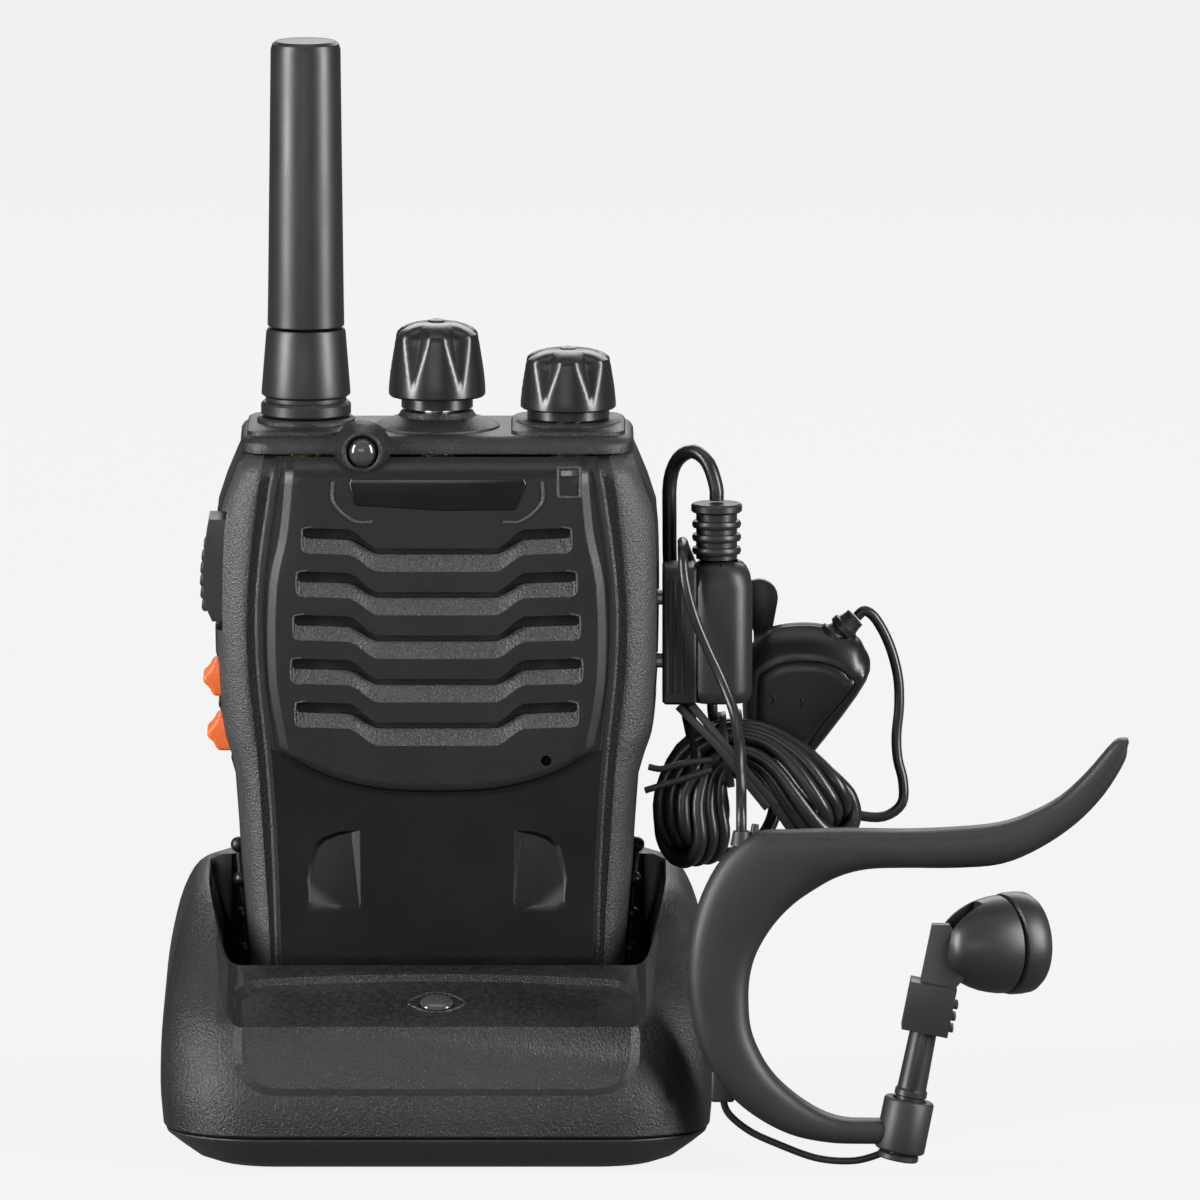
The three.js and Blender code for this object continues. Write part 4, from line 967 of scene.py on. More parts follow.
def plate():
    """Blank six-sided name plate with a line round it, and the status lamp in its frame; the line and the
    frame are coloured lighter as a painted highlight.
    """
    plate_outline = [
        (-12.8, 102.4), (13.2, 102.4), (13.6, 101.4), (11.9, 97.5), (0.8, 97.4), (-12.4, 98.2),
        (-13.2, 101.6)
    ]
    body = softened(slab(plate_outline, -16.2, -15.4), 0.28, 3, 40)
    piece("plate_piece", body, GLOSS, "radio", "body_dark", "name_plate")
    for side, start in ((-1, -15.6), (1, 15.9)):
        points = [
            (start, 101.9), (start - side * 0.1, 98.6), (start - side * 3.1, 95.9), (start - side * 6, 95.7)
        ]
        points = [(x, -16.02, z) for x, z in points]
        piece(f"plate_line_{'left' if side < 0 else 'right'}", tube(points, 0.26), BAND_PAINTED_HIGHLIGHT, "radio", "body_dark")
    low, high = 99.5, 103.9
    frame_points = [
        (18.6, low), (21.4, low), (21.6, low + 0.5), (21.6, high - 0.4), (21.2, high), (18.7, high)
    ]
    frame_points += [(18.3, high - 0.4), (18.3, low + 0.4)]
    ring = [(x, -15.75 - (0.2 if z < 102.5 else 0), z) for x, z in [*frame_points, frame_points[0]]]
    piece("lamp_frame", tube(ring, 0.24, steps=3), BAND_PAINTED_HIGHLIGHT, "radio", "body_dark")
    window = softened(
        slab([(18.5, 99.7), (21.3, 99.7), (21.4, 103.7), (18.5, 103.7)], -15.85, -13), 0.25, 2, 40
    )
    piece("lamp_piece", window, LAMP, "radio", "clear_lens", "status_lamp")


def slot_rims():
    """Fine rounded edge at both ends of each slot, coloured lighter as a painted highlight."""
    rims = []
    for i in range(SLOT_COUNT):
        top = SLOT_TOP + SLOT_RISE + 0.25 - i * SLOT_PITCH
        end = eased(SLOT_END, top - 3) + 0.25
        for side in (-1, 1):
            points = [(end - 1.6, top + 0.12), (end - 0.3, top - 0.1), (end, top - 0.7), (end, top - 2.8)]
            points += [(end - 0.3, top - 3.6), (end - 1.6, top - 4.0)]
            rims.append(tube([(side * x, FRONT_FACE[3][1] + 0.03, z) for x, z in points], 0.15, 8, 3))
    piece("slot_rims", joined(*rims), BAND_PAINTED_HIGHLIGHT, "radio", "body_shell")


def side_beads():
    """Row of small beads with a thin web between them, down both sides behind the front shell."""
    for side in (-1, 1):
        parts = []
        places = [(side * (eased(HALF_WIDTH, z) + 0.55), 4.6, z) for z in (22.4, 27.7, 33, 38.3, 43.6)]
        for x, y, z in places:
            bm = bmesh.new()
            bmesh.ops.create_uvsphere(bm, u_segments=20, v_segments=12, radius=1.2)
            parts.append(moved(bm, (x, y, z)))
        parts += [rod(a, b, 0.5, segments=12) for a, b in zip(places, places[1:])]
        piece(f"beads_{'left' if side < 0 else 'right'}", joined(*parts), PANEL, "radio", "body_dark")


slot_rims()
side_beads()
deck()
torch()
plate()


# ---------------------------------------------------------------- radio: antenna, knobs, keys
def standing(name, profile, x, finish_, body, slot_name, *nodes, segments=72):
    piece(name, moved(turned(profile, segments), (x, AXIS_Y, 0)), finish_, body, slot_name, *nodes)


def antenna():
    collar = [(0, 109.8), (6.5, 109.8), (6.8, 110.1), (6.8, 111.5), (6.5, 111.9), (6.1, 112.05), (6.1, 112.6)]
    collar += [(6.35, 112.75), (6.7, 113.0), (6.72, 113.4), (6.0, 122.5), (5.8, 122.95), (0, 122.95)]
    standing("collar_piece", collar, ANTENNA_X, ANTENNA, "antenna", "antenna_rubber", "antenna_collar")
    whip = [(0, 123.3), (5.6, 123.3), (5.8, 123.5), (5.72, 128), (5.28, 165.4), (5.05, 166.2), (4.5, 166.65)]
    whip += [(2.5, 166.8), (0, 166.8)]
    standing("whip_piece", whip, ANTENNA_X, ANTENNA, "antenna", "antenna_rubber", "antenna_whip")


def knob(name, x, bottom, top, wide, narrow, neck, node, body):
    """Knob with six V-shaped flutes that run out toward its foot, on a short neck."""
    height = top - bottom
    levels = [(0, neck), (0.12, neck), (0.125, wide - 0.3), (0.15, wide), (0.22, wide), (0.3, wide - 0.08)]
    levels += [
        (t, wide - 0.08 + (narrow + 0.1 - wide) * (t - 0.3) / 0.5) for t in (0.4, 0.5, 0.6, 0.7, 0.76, 0.8)
    ]
    levels += [
        (0.84, narrow - 0.2), (0.88, narrow - 0.8), (0.92, narrow - 1.8), (0.95, narrow - 3.0),
        (0.965, narrow - 4.2)
    ]
    rings = []
    for t, radius in levels:
        open_ = 20 * max(0.0, min(1.0, (t - 0.26) / 0.5))
        ring = []
        for step in range(120):
            angle = step * 3
            off = abs((angle - 0) % 60 - 30)
            depth = 1.15 * (open_ / 20) * max(0.0, 1 - off / open_) * fade(t, 0.86, 0.96) if open_ > 0 else 0
            turn = math.radians(angle + 90)
            ring.append(
                ((radius - depth) * math.cos(turn), (radius - depth) * math.sin(turn), bottom + t * height)
            )
        rings.append(ring)
    body_mesh = lofted(rings)
    cap = moved(
        turned([(0, -0.6), (1.7, -0.6), (1.6, 0.1), (1.2, 0.5), (0.6, 0.68), (0, 0.7)], 32),
        (0, 0, top - 0.7)
    )
    dish = joined(body_mesh, cap)
    piece(name, moved(dish, (x, AXIS_Y, 0)), KNOB, body, "knob_plastic", node, smooth=24)


antenna()
knob("volume_piece", VOLUME_X, 111.0, 124.4, 7.3, 6.6, 5.4, "volume_knob", "volume")
knob("channel_piece", CHANNEL_X, 109.5, 120.2, 7.2, 6.7, 6.2, "channel_knob", "channel")


def key(name, node, body, finish_, slot_name, width, segments=3):
    piece(name, softened(of_node(node), width, segments, 24), finish_, body, slot_name, node, smooth=40)


key("ptt_piece", "ptt_key", "ptt", KEY_RUBBER, "key_rubber", 0.22)
key("key_upper_piece", "side_key_upper", "key_upper", ORANGE, "key_orange", 0.5)
key("key_lower_piece", "side_key_lower", "key_lower", ORANGE, "key_orange", 0.5)


# ---------------------------------------------------------------- radio: back
for name, node, body_name, shade, slot_name, width in (
    ("chassis_piece", "rear_chassis", "radio", SHELL, "body_shell", 0.25),
    ("battery_piece", "battery_case", "radio", SHELL, "body_shell", 0.3),
    ("latch_piece", "battery_latch", "latch", PANEL, "body_dark", 0.3),
    ("bracket_piece", "clip_bracket", "radio", PANEL, "body_dark", 0.3),
    ("clip_piece", "belt_clip", "clip", PANEL, "body_dark", 0.35),
    ("foot_left", "foot_strip_left", "charger", FEET, "dock_feet", 0.2),
    ("foot_right", "foot_strip_right", "charger", FEET, "dock_feet", 0.2),
):
    piece(name, softened(of_node(node), width, 2, 32), shade, body_name, slot_name, node, smooth=36)


# ---------------------------------------------------------------- charger
TOP_LEVELS = [  # height, half width, front, back, front and back corner radius
    (5.6, 41.1, -40.1, 39, 14, 12), (12, 41.6, -39.4, 39, 14, 12), (22, 41.2, -34.5, 39, 13, 12),
    (30, 39.8, -24.5, 38.4, 12, 12), (35, 38.2, -17, 36.6, 11, 11), (38.4, 36, -11, 34, 10, 10),
    (40, 32.8, -6, 30, 9, 9),
]
FINE_LEVELS = [
    5.6, 5.9, 8, 10, 12, 14, 17, 19.5, 22, 24, 26, 28, 30, 32, 34, 35.6, 37, 38, 38.8, 39.4, 39.8, 40
]
DOCK_WALL = 1.8
SLOPE_TILT = math.atan2(LIP[1] - CREASE[1], LIP[0] - CREASE[0])


def dock_level(z, less=0.0):
    """Half width, front, back and corner radii of the charger's top at a height, each a wall less."""
    half, front, back, r_front, r_back = (
        eased([(row[0], row[k]) for row in TOP_LEVELS], z) for k in range(1, 6)
    )
    if z in (5.6,):
        half, front, back = half - 0.3, front + 0.3, back - 0.3
    return half - less, front + less, back - less, max(2, r_front - less), max(2, r_back - less)


def above_slope(lower, half, front=-60.0, back=LIP[0], top=60.0):
    """Everything over the sloping face, that much lower, within a half width."""
    rise = math.tan(SLOPE_TILT)
    at_front = CREASE[1] + rise * (front - CREASE[0]) - lower
    at_back = CREASE[1] + rise * (back - CREASE[0]) - lower
    return side_slab([(front, at_front), (back, at_back), (back, top), (front, top)], -half, half)


def flared(low, back_low, front, back, half, bend=1.6):
    """Opening with a rounded foot and leaning sides; its foot rises from low in front to back_low behind."""
    side = [
        (0, 0), (half - bend, 0), (half - 0.5, 0.35), (half + 0.3, 1.4), (half + 1.4, 4.5), (half + 2.6, 9)
    ]
    side += [(half + 4.2, 14), (half + 5, 50)]
    around = side[1:] + [(-x, z) for x, z in reversed(side[1:])]
    return lofted([[(x, y, z + foot) for x, z in around] for y, foot in ((front, low), (back, back_low))])


def rounded_tab(half, low, high, r_low, r_high, arch, steps=6):
    """Outline in (x, height) with rounded corners and a top edge that rises toward its middle."""
    points = []
    for x, z, r, start in (
        (half, low, r_low, -90), (half, high, r_high, 0), (-half, high, r_high, 90),
        (-half, low, r_low, 180)
    ):
        cx = x - math.copysign(r, x)
        cz = z + (r if z == low else -r)
        for k in range(steps + 1):
            a = math.radians(start + 90 * k / steps)
            points.append((cx + r * math.cos(a), cz + r * math.sin(a)))
        if z == high and x > 0:
            for k in range(1, 8):
                t = k / 8
                points.append((cx * (1 - 2 * t), high + arch * math.sin(math.pi * t)))
    return points


def sunk_on(points_out, points_in, depth, origin, tilt):
    """Cutter that sinks an outline into a face: its sides slope in to the given depth."""
    up = Vector((0, math.cos(tilt), math.sin(tilt)))
    normal = Vector((0, -math.sin(tilt), math.cos(tilt)))
    origin = Vector(origin)

    def ring(points, out):
        return [origin + Vector((x, 0, 0)) + up * s + normal * out for x, s in points]

    return lofted([ring(points_out, 3), ring(points_out, 0.02), ring(points_in, -depth)])


def charger():
    outer = lofted([outline(*dock_level(z), z) for z in FINE_LEVELS])
    inner = lofted([outline(*dock_level(z, DOCK_WALL), z) for z in (4, *FINE_LEVELS[1:-4], 38.2)])
    pocket_front, pocket_back, floor = LIP[0], 20.0, 7.6
    inner = carved(
        inner,
        joined(
            block(
                -POCKET_HALF - 1.8, POCKET_HALF + 1.8, pocket_front - 1.8, pocket_back + 1.8, floor - 1.8,
                60
            )
        ),
    )
    inner = carved(inner, above_slope(1.8, POCKET_HALF + 1.8, back=pocket_front))
    body = carved(outer, inner)
    rise = math.tan(SLOPE_TILT)
    body = carved(body, flared(CREASE[1] + rise * (-60 - CREASE[0]), LIP[1], -60, LIP[0], POCKET_HALF - 0.4))
    body = carved(body, flared(LIP[1] - 0.01, LIP[1] - 0.01, LIP[0] - 0.02, 19.2, POCKET_HALF - 0.9))
    pocket = [
        outline_between(pocket_half, pocket_front, pocket_back, z) for z,
        pocket_half in ((floor, 29.8), (floor + 5, 31), (20, POCKET_HALF), (60, POCKET_HALF))
    ]
    body = carved(body, lofted(pocket))
    face_tilt = math.atan2(10.0, 4.9)
    front_out = rounded_tab(30.6, -11.2, 3, 6.5, 1.2, 0)
    front_in = rounded_tab(29.2, -9.8, 3.3, 5.4, 1.2, 0)
    origin = (0, CREASE[0] - 0.02, CREASE[1] - 0.02)
    body = carved(body, sunk_on(front_out, front_in, 0.9, origin, face_tilt))
    slope_out = rounded_tab(30.6, -3, 13.6, 1.2, 5.5, 1.3)
    slope_in = rounded_tab(29.4, -3.3, 12.6, 1.2, 4.6, 1.3)
    body = carved(body, sunk_on(slope_out, slope_in, 0.7, origin, SLOPE_TILT))
    body = softened(body, 0.35, 2, 33, inside=lambda p: p.z > 17 and p.y < pocket_back + 1)
    cuts = [rod((0, -27.5, 15), (0, -27.5, 40), 2.6), block(-5.2, 5.2, 30, 45, 9.2, 20.3)]
    body = carved(body, *cuts)
    assign(body, lambda f: 1 if smooth_part(f) else 0)
    piece("dock_top", body, [DOCK, DOCK_SATIN], "charger", "dock_shell", "charger_top_shell", smooth=30)


def smooth_part(f):
    """Whether a face is on the slope or in the opening, which are smoother than the outside."""
    p = f.calc_center_median()
    slope = -35.5 < p.y < LIP[0] and f.normal.z > 0.6
    opening = LIP[0] - 1 < p.y < 20.5 and abs(p.x) < POCKET_HALF + 1.5
    return p.z > 7 and abs(p.x) < POCKET_HALF + 1 and (slope or opening)


def outline_between(half, front, back, z):
    return outline(half, front, back, 3, 3, z, 5)


def base():
    levels = [(0.0, 33.2, -32.0, 32.0, 9), (0.25, 33.8, -32.6, 32.6, 9), (1.1, 35.8, -34.8, 34.6, 10)]
    levels += [(3.2, 38.6, -37.5, 36.8, 12), (4.9, 40.7, -39.6, 38.6, 14), (5.3, 40.7, -39.6, 38.6, 14)]
    body = lofted([outline(h, f, b, r, min(r, 12), z) for z, h, f, b, r in levels])
    inner = lofted(
        [
            outline(h - 2, f + 2, b - 2, r, min(r, 11), z) for z, h, f, b,
            r in ((1.6, 34, -33, 33, 10), (4.5, 39, -38, 37, 12), (9, 39, -38, 37, 12))
        ]
    )
    body = carved(body, inner)
    grooves = [block(left, right, -20.3, 20.3, -1, 0.75) for left, right in ((-30.3, -23.7), (23.7, 30.3))]
    # Base in its lighter colour: painted light for the floor light on its downward faces.
    piece(
        "dock_base", carved(softened(body, 0.2, 2, 40), *grooves), BASE_PAINTED_LIGHT, "charger", "dock_shell",
        "charger_base_shell", smooth=30
    )


def charge_lamp():
    """Eye-shaped window over the lamp, and the fine raised line round it."""
    up = Vector((0, math.cos(SLOPE_TILT), math.sin(SLOPE_TILT)))
    normal = Vector((0, -math.sin(SLOPE_TILT), math.cos(SLOPE_TILT)))
    middle = Vector((0, -27.5, CREASE[1] + math.tan(SLOPE_TILT) * (-27.5 - CREASE[0]))) - normal * 0.7

    def around(scale, out):
        ring = []
        for k in range(40):
            a = math.tau * k / 40
            x = math.cos(a)
            ring.append(
                middle + Vector((2.5 * scale * x, 0, 0)) + up * 2.2 * scale * math.sin(a) + normal * out
            )
        return ring

    dome = lofted(
        [
            around(1, -4.4), around(1, 0.1), around(0.93, 0.32), around(0.75, 0.5), around(0.45, 0.62),
            around(0.15, 0.66)
        ]
    )
    piece("lamp_dome", dome, LAMP, "charger", "clear_lens", "charge_lamp")
    eye = []
    for k in range(33):
        a = math.tau * k / 32
        x, s = math.cos(a), math.sin(a)
        eye.append(middle + Vector((4.3 * x, 0, 0)) + up * (2.9 * s * (1 - 0.45 * x * x)) + normal * 0.06)
    piece("lamp_line", tube(eye, 0.22, steps=3), DOCK, "charger", "dock_shell")


DOCK_SATIN = finish("dock_satin", **black(0.004), rough=0.42, grain=0.4, depth=0.03, dust=0.16)
charger()
base()
charge_lamp()
piece("inlet_piece", softened(of_node("dc_inlet"), 0.3, 2, 40), PANEL, "charger", "body_dark", "dc_inlet")


# ---------------------------------------------------------------- earpiece
HOOK_PAIRS = [  # points on its outer and on its inner edge, from the tip to the foot
    (103.4, 66.4, 103.7, 65.2), (101.6, 65.9, 103.2, 62.8), (97.6, 61.3, 100.2, 57.9), (93.6, 57.6, 96, 53.5),
    (89, 55.1, 90.6, 49.8), (84.5, 53.6, 84.8, 47.4), (78, 52.9, 77.8, 46.8), (70, 52.6, 70.6, 46.8),
    (62, 52.7, 64.8, 46.6), (54, 52.5, 60.5, 45.5), (47.6, 52, 57, 43.6), (42.9, 48.2, 53.6, 41.2),
    (39.8, 42.6, 50.6, 38), (38.2, 36.8, 48.2, 34), (37.7, 31.8, 47.1, 30.2), (37.9, 27.4, 46.9, 26.3),
    (38.8, 22.4, 47.3, 22.2), (40.5, 17.5, 48.8, 18.4), (43, 13.6, 50.7, 15.5), (46, 10.5, 53, 13.2),
    (50, 7.8, 55.8, 11.1), (54.2, 6, 58.6, 9.6), (59, 5.1, 61.6, 8.8), (63, 4.9, 64.6, 8.7), (
        67.9, 4.9, 67.9, 8.7
    ),
]


def hook_ring(outer, inner, thick):
    """Rounded section between a point of the outer and one of the inner edge."""
    middle, reach = (outer + inner) / 2, (outer - inner) / 2
    ring = []
    for k in range(32):
        a = math.tau * k / 32
        c, s = math.cos(a), math.sin(a)
        power = 0.72
        ring.append(
            middle + reach * math.copysign(abs(c) ** power, c) + Vector(
                (0, thick * math.copysign(abs(s) ** power, s), 0)
            )
        )
    return ring


def ear_hook():
    outer = spline([(x, HOOK_Y, z) for x, z, _, _ in HOOK_PAIRS], 4)
    inner = spline([(x, HOOK_Y, z) for _, _, x, z in HOOK_PAIRS], 4)
    rings = []
    for i, (a, b) in enumerate(zip(outer, inner)):
        at = i / 4
        thick = 3.3 * (1 - 0.45 * fade(at, 0, 6)) * (1 - 0.2 * (1 - fade(at, 20, 24)))
        rings.append(hook_ring(a, b, thick))
    tip = (outer[0] + inner[0]) / 2
    cap = [p.lerp(tip, 0.45) + Vector((0.25, 0, 0.25)) for p in rings[0]]
    body = lofted([cap, *rings])
    entry = rod((45.8, HOOK_Y, 50.2), (45.8, HOOK_Y, 52.3), 1.7, 1.25)
    stub = rod((47.6, HOOK_Y, 51), (47.9, HOOK_Y, 53.3), 0.7, 0.55)
    tab = softened(
        slab([(41.2, 11.3), (44.8, 11.3), (44.9, 16.2), (41.3, 16.2)], HOOK_Y - 1.6, HOOK_Y + 1.6), 0.5, 3,
        40
    )
    piece("hook_piece", joined(body, entry, stub, tab), HOOK, "earpiece", "ear_rubber", "ear_hook", smooth=38)


def along_stem(bm):
    """Body made round the Z axis, put on the stem's axis."""
    return moved(rotated(bm, math.degrees(STEM_LEAN), "Y"), STEM_FOOT)


def stem():
    sleeve = [(2.55, -4), (3.5, -4), (3.8, -3.7), (3.8, 3.6), (3.55, 4), (2.55, 4), (2.55, -4)]
    collar = along_stem(softened(turned(sleeve, 48), 0.1, 2, 40))
    piece("sleeve_piece", collar, HOOK, "earpiece", "ear_rubber")
    profile = [
        (0, -5.3), (2.9, -5.3), (3.1, -5.1), (3.1, -4.5), (2.9, -4.3), (2.2, -4.3), (2.2, 4.4), (2.45, 4.6)
    ]
    profile += [(2.45, 5.4), (2.2, 5.7), (2.05, 14), (2.2, 19.6), (0, 19.6)]
    rib = softened(block(-0.5, 0.5, -2.55, -1.4, 5.6, 15), 0.25, 2, 40)
    piece(
        "stem_piece", along_stem(joined(turned(profile, 48), rib)), BUD_PLASTIC, "bud_arm", "bud_plastic",
        "earbud_stem"
    )
    clamp = softened(of_node("earbud_bracket"), 0.35, 3, 24)
    teeth = [softened(block(3.2, 4.3, -2.2, 2.2, z, z + 0.9), 0.2, 2, 40) for z in (15.4, 17.2, 19)]
    piece(
        "clamp_piece", joined(clamp, *(along_stem(t) for t in teeth)), BUD_PLASTIC, "bud_arm",
        "bud_plastic", "earbud_bracket"
    )


def bud():
    """Half-round bud with a soft ring, on the axis that its face looks along."""
    shell = [
        (0, -0.4), (1.6, -0.35), (3, 0), (4, 0.8), (4.8, 1.8), (5.6, 3), (6.2, 4.2), (6.75, 5.6), (7.1, 7)
    ]
    shell += [(7.35, 8.4), (7.4, 9.2), (7.2, 9.45), (0, 9.45)]
    body = turned(shell, 64)
    cut = block(-9, 0.2, -1.4, 1.4, -3, 5.6)
    body = carved(body, cut)
    face = [
        (0, 9.8), (7.1, 9.8), (7.5, 10.1), (7.7, 10.8), (7.72, 12.4), (7.6, 13.6), (7.1, 14.3), (6.2, 14.6)
    ]
    face += [(5.6, 14.4), (5.3, 13.6), (0, 13.3)]
    ring = turned(face, 64)
    dots = [
        rod(
            (1.9 * math.cos(a), 1.9 * math.sin(a), 13), (1.9 * math.cos(a), 1.9 * math.sin(a), 13.6), 0.4,
            segments=12
        )
        for a in (0, 2.1, 4.2)
    ]
    for name, bm, shade, slot_name, node in (
        ("bud_shell", body, BUD_PLASTIC, "bud_plastic", "earbud_housing"),
        ("bud_ring", joined(ring, *dots), BUD_PLASTIC, "bud_plastic", "earbud_cushion"),
    ):
        turn = Matrix.Rotation(BUD_YAW, 3, "Z") @ Matrix.Rotation(math.radians(90), 3, "Y")
        bmesh.ops.rotate(bm, matrix=turn, verts=bm.verts)
        piece(name, moved(bm, BUD), shade, "earbud", slot_name, node)


ear_hook()
stem()


# ---------------------------------------------------------------- plug and talk box
def plug():
    levels = [
        (66.9, 0.9), (67.2, 0.4), (68, 0.05), (69, 0), (84.5, 0), (86.4, 0.35), (87.6, 0.9), (88.2, 1.5),
        (88.4, 2.2)
    ]
    body = lofted([
        [(x + 42.7, y, z) for x, y, z in outline(4.9 - less, -9.55 + less, -0.45 - less, 3.6, 3.6, z, 7)]
        for z, less in levels
    ])
    levels = [(66.9, 0.5), (67.3, 0.1), (87.4, 0.1), (87.8, 0.5)]
    flange = lofted([
        [
            (x + 36.6, y, z) for x, y, z in outline(2.7 - less, -9.3 + less, -0.7 - less, 0.5, 0.5, z, 3)
        ] for z, less in levels
    ])
    fins = [softened(block(x, x + 0.45, -9.55, -9.2, 68.8, 86), 0.1, 1, 40) for x in (34.5, 35.6, 36.7)]
    piece("plug_piece", joined(body, flange, *fins), PLUG, "earpiece", "plug_plastic", "plug_body")
    ridges = [(0, 88.7), (3.1, 88.7)]
    for i in range(3):
        z = 89.3 + i * 2.0
        ridges += [
            (3.1, z), (3.55, z + 0.15), (3.7, z + 0.5), (3.7, z + 0.8), (3.55, z + 1.15), (3.1, z + 1.3)
        ]
    ridges += [(3.1, 95.6), (3.6, 95.75), (3.85, 96), (3.85, 96.8), (3.6, 97.1), (1.2, 97.2), (0, 97.2)]
    boot = moved(turned(ridges, 48), (42.2, -5, 0))
    piece("boot_piece", boot, BOOT, "earpiece", "plug_plastic", "plug_boot")


MIC_OUTLINE = [
    (
        49.6, 75.6
    ), (53.6, 76.6), (58, 76.5), (62.4, 75.2), (64.5, 73.2), (64.9, 68.2), (55.3, 55.2), (53, 53.8),
    (49.3, 53.6), (47.2, 55), (46.2, 64), (46.8, 72.6),
]
MIC_FACE = [
    (50.7, 72.3), (54, 73), (58.2, 72.8), (61.6, 71.6), (63.4, 70), (63.9, 67.6), (55, 55.7), (52.8, 54.5),
    (49.7, 54.3), (48, 55.6), (47, 64), (47.8, 70.6),
]


def loop(points, steps=5):
    """Smooth closed line through (x, z) points."""
    ring = spline([(x, 0, z) for x, z in (points[-1], *points, points[0], points[1])], steps)
    return [(p.x, p.z) for p in ring[steps:-2 * steps]]


def between(a, b, t):
    return [(x0 + (x1 - x0) * t, z0 + (z1 - z0) * t) for (x0, z0), (x1, z1) in zip(a, b)]


def shrunk(points, by):
    """Outline moved in toward its middle by about that much."""
    cx = sum(x for x, _ in points) / len(points)
    cz = sum(z for _, z in points) / len(points)
    ring = []
    for x, z in points:
        away = math.hypot(x - cx, z - cz)
        ring.append((cx + (x - cx) * (1 - by / away), cz + (z - cz) * (1 - by / away)))
    return ring


def mic_box():
    wide, face = loop(MIC_OUTLINE), loop(MIC_FACE)

    def level(points, y):
        return [(x, y, z) for x, z in points]

    front = [level(shrunk(face, 0.5), 4.0), level(face, 4.15), level(between(face, wide, 0.35), 4.7)]
    front += [
        level(between(face, wide, 0.75), 5.8), level(wide, 7.2), level(wide, 8.35),
        level(shrunk(wide, 0.25), 8.45)
    ]
    body = lofted(front)
    body = carved(body, lofted([level(shrunk(face, 1.25), 3), level(shrunk(face, 1.25), 5.3)]))
    piece("talk_front", body, MIC, "earpiece", "plug_plastic", "mic_box_front")
    back = [
        level(shrunk(wide, 0.25), 8.75), level(wide, 8.85), level(wide, 10.8),
        level(shrunk(wide, 0.6), 12.2)
    ]
    back += [level(shrunk(wide, 1.6), 13)]
    piece("talk_back", lofted(back), MIC, "earpiece", "plug_plastic", "mic_box_back")
    pad = [level(shrunk(face, 1.55), 4.3), level(shrunk(face, 1.55), 3.95), level(shrunk(face, 1.9), 3.75)]
    pad += [level(shrunk(face, 3), 3.7)]
    marks = []
    for x, z in ((50.7, 66), (55, 65.4)):
        marks.append(tube([(x, 3.68, z + 0.7), (x + 0.3, 3.66, z), (x - 0.1, 3.68, z - 0.8)], 0.13, steps=4))
    piece("talk_button_piece", joined(lofted(pad), *marks), MIC, "talk_button", "plug_plastic", "mic_button")
    rings = [(0, 0), (3.1, 0), (3.1, 0.9)]
    for i in range(4):
        z, r = 1.4 + i * 2.2, 3.1 - i * 0.28
        rings += [(r - 0.45, z - 0.25), (r - 0.45, z), (r, z + 0.2), (r, z + 1.2), (r - 0.45, z + 1.4)]
    rings += [(1.6, 10.4), (1.6, 11), (0, 11)]
    boot = moved(rotated(turned(rings, 40), 47, "Y"), (55.2, 8.1, 70.3))
    piece("talk_boot", boot, BOOT, "earpiece", "plug_plastic", "mic_boot")
    piece(
        "talk_clip_piece", softened(of_node("mic_clip"), 0.3, 2, 35), MIC, "talk_clip", "plug_plastic",
        "mic_clip"
    )


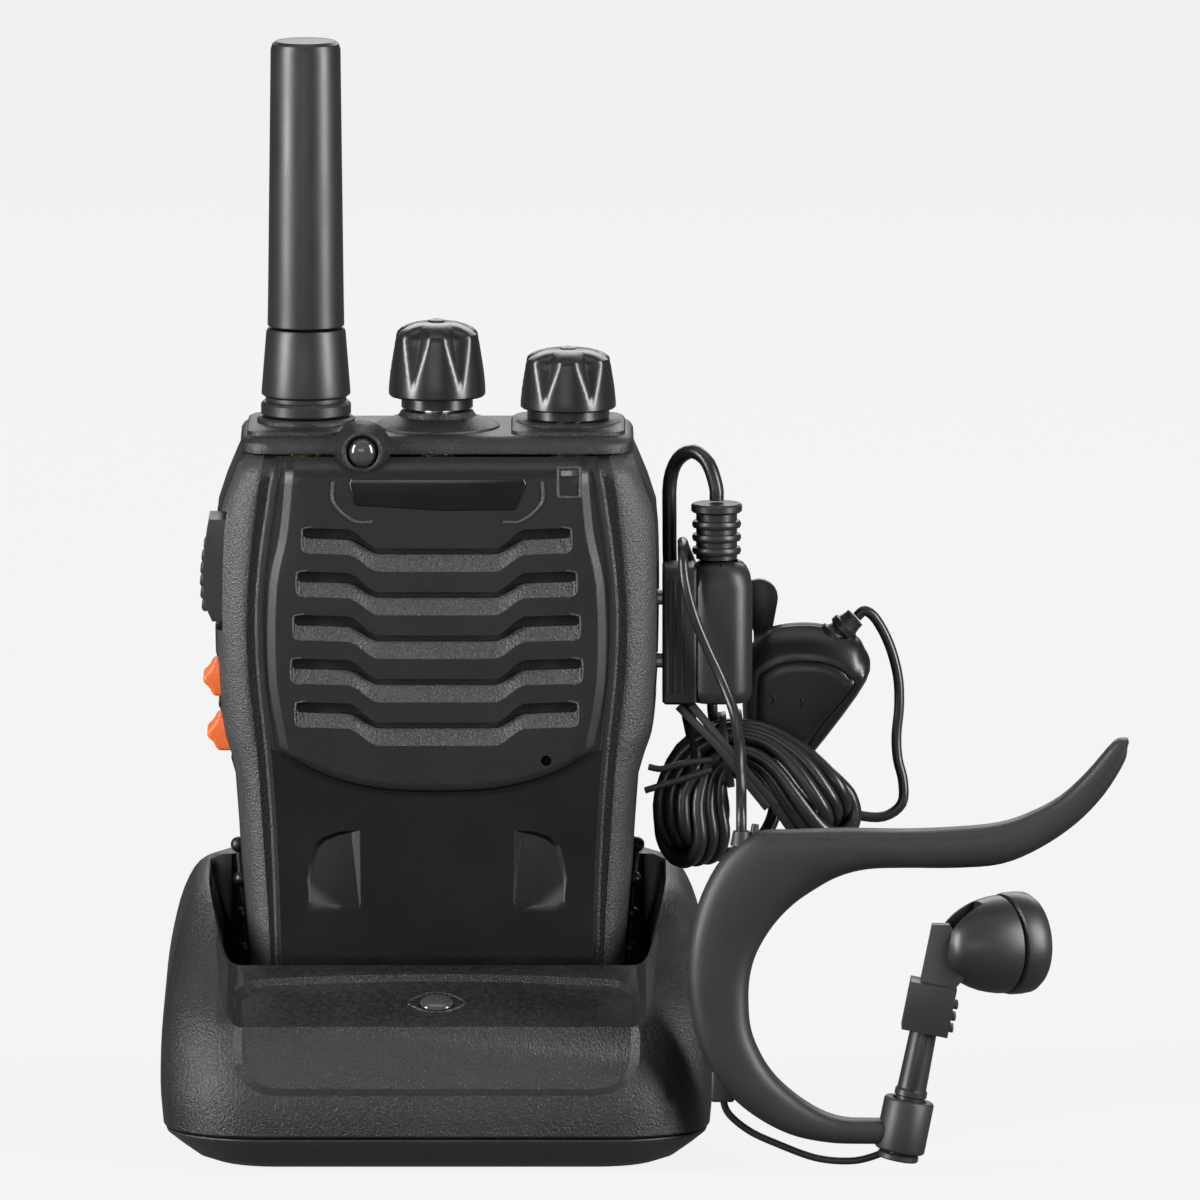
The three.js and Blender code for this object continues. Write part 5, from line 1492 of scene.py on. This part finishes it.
def tie():
    """Flat tie round the hank's waist: its two short ends stick out, and a long one lies across the front."""
    waist = Vector((44.6, HANK_Y, 59.3))
    ahead = Vector((0.95, 0, 0.12)).normalized()
    out = Vector((-ahead.z, 0, ahead.x))
    for name, shift in (("tie_left", -0.9), ("tie_right", 1.5)):
        ring = []
        for k in range(29):
            a = math.tau * k / 28
            ring.append(waist + ahead * shift + out * 5.5 * math.cos(a) + Vector((0, 6.0 * math.sin(a), 0)))
        flat_band(name, ring, 1.1, across=Vector((0.99, 0, 0.13)))
    flat_band(
        "tie_long",
        [
            Vector(p)
            for p in (
                (36.4, -8.2, 66.6), (39.5, -9.2, 63.6), (42.8, -9.6, 60.2), (46.4, -9.7, 55.6),
                (49.9, -9.4, 51.2)
            )
        ],
        1.2
    )
    flat_band(
        "tie_long_under",
        [
            Vector(p)
            for p in (
                (38.4, -8.0, 66.8), (41, -9.0, 63.8), (44, -9.5, 60.2), (47.4, -9.5, 56.0),
                (51.1, -9.2, 51.6)
            )
        ],
        1.2
    )
    for name, points in (
        ("tie_end_upper", ((41.5, -8.8, 58.5), (37.2, -9.2, 58), (34, -9.4, 57.2), (31.9, -9.3, 57.5))),
        ("tie_end_lower", ((41.5, -8.8, 57), (37, -9.3, 55.6), (33.6, -9.5, 54.6), (31.4, -9.3, 53.9))),
    ):
        piece(name, tube(points, 0.5), STRAP, "earpiece", "cord_jacket")


def flat_band(name, points, width, across=None):
    """Flat strip along points that faces the front, or whose width lies along a given direction."""
    line = spline(points, 4)
    rings = []
    for before, p, after in zip([line[0], *line], line, [*line[1:], line[-1]]):
        ahead = (after - before).normalized()
        side = ahead.cross(Vector((0, 1, 0)))
        side = side.normalized() if side.length > 0.15 else Vector((0.95, 0, 0.12))
        if across is not None:
            side = across.normalized()
        up = ahead.cross(side).normalized()
        rings.append(
            [p + side * a * width / 2 + up * b * 0.28 for a, b in ((-1, -1), (1, -1), (1, 1), (-1, 1))]
        )
    piece(name, softened(lofted(rings), 0.12, 2, 50), STRAP, "earpiece", "cord_jacket", smooth=40)


bud()
plug()
mic_box()
tie()


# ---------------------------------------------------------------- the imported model's own parts
SLOT_FINISH = {
    "dock_shell": DOCK, "dock_feet": FEET, "body_shell": SHELL, "body_dark": PANEL, "key_rubber": KEY_RUBBER,
    "key_orange": ORANGE, "knob_plastic": KNOB, "antenna_rubber": ANTENNA, "clear_lens": LENS, "steel": STEEL,
    "brass": BRASS, "circuit_board": BOARD, "cloth": CLOTH, "cell_wrap": WRAP, "plug_plastic": PLUG,
    "ear_rubber": HOOK, "bud_plastic": BUD_PLASTIC, "cord_jacket": JACKET,
}
for part in frame["record"]["subparts"]:
    part_mesh = frame["nodes"][part["node"]].data
    part_mesh.materials.clear()
    part_mesh.materials.append(SLOT_FINISH[part["material_slot"]])

frame["nodes"]["microphone"].data.materials[0] = CLOTH
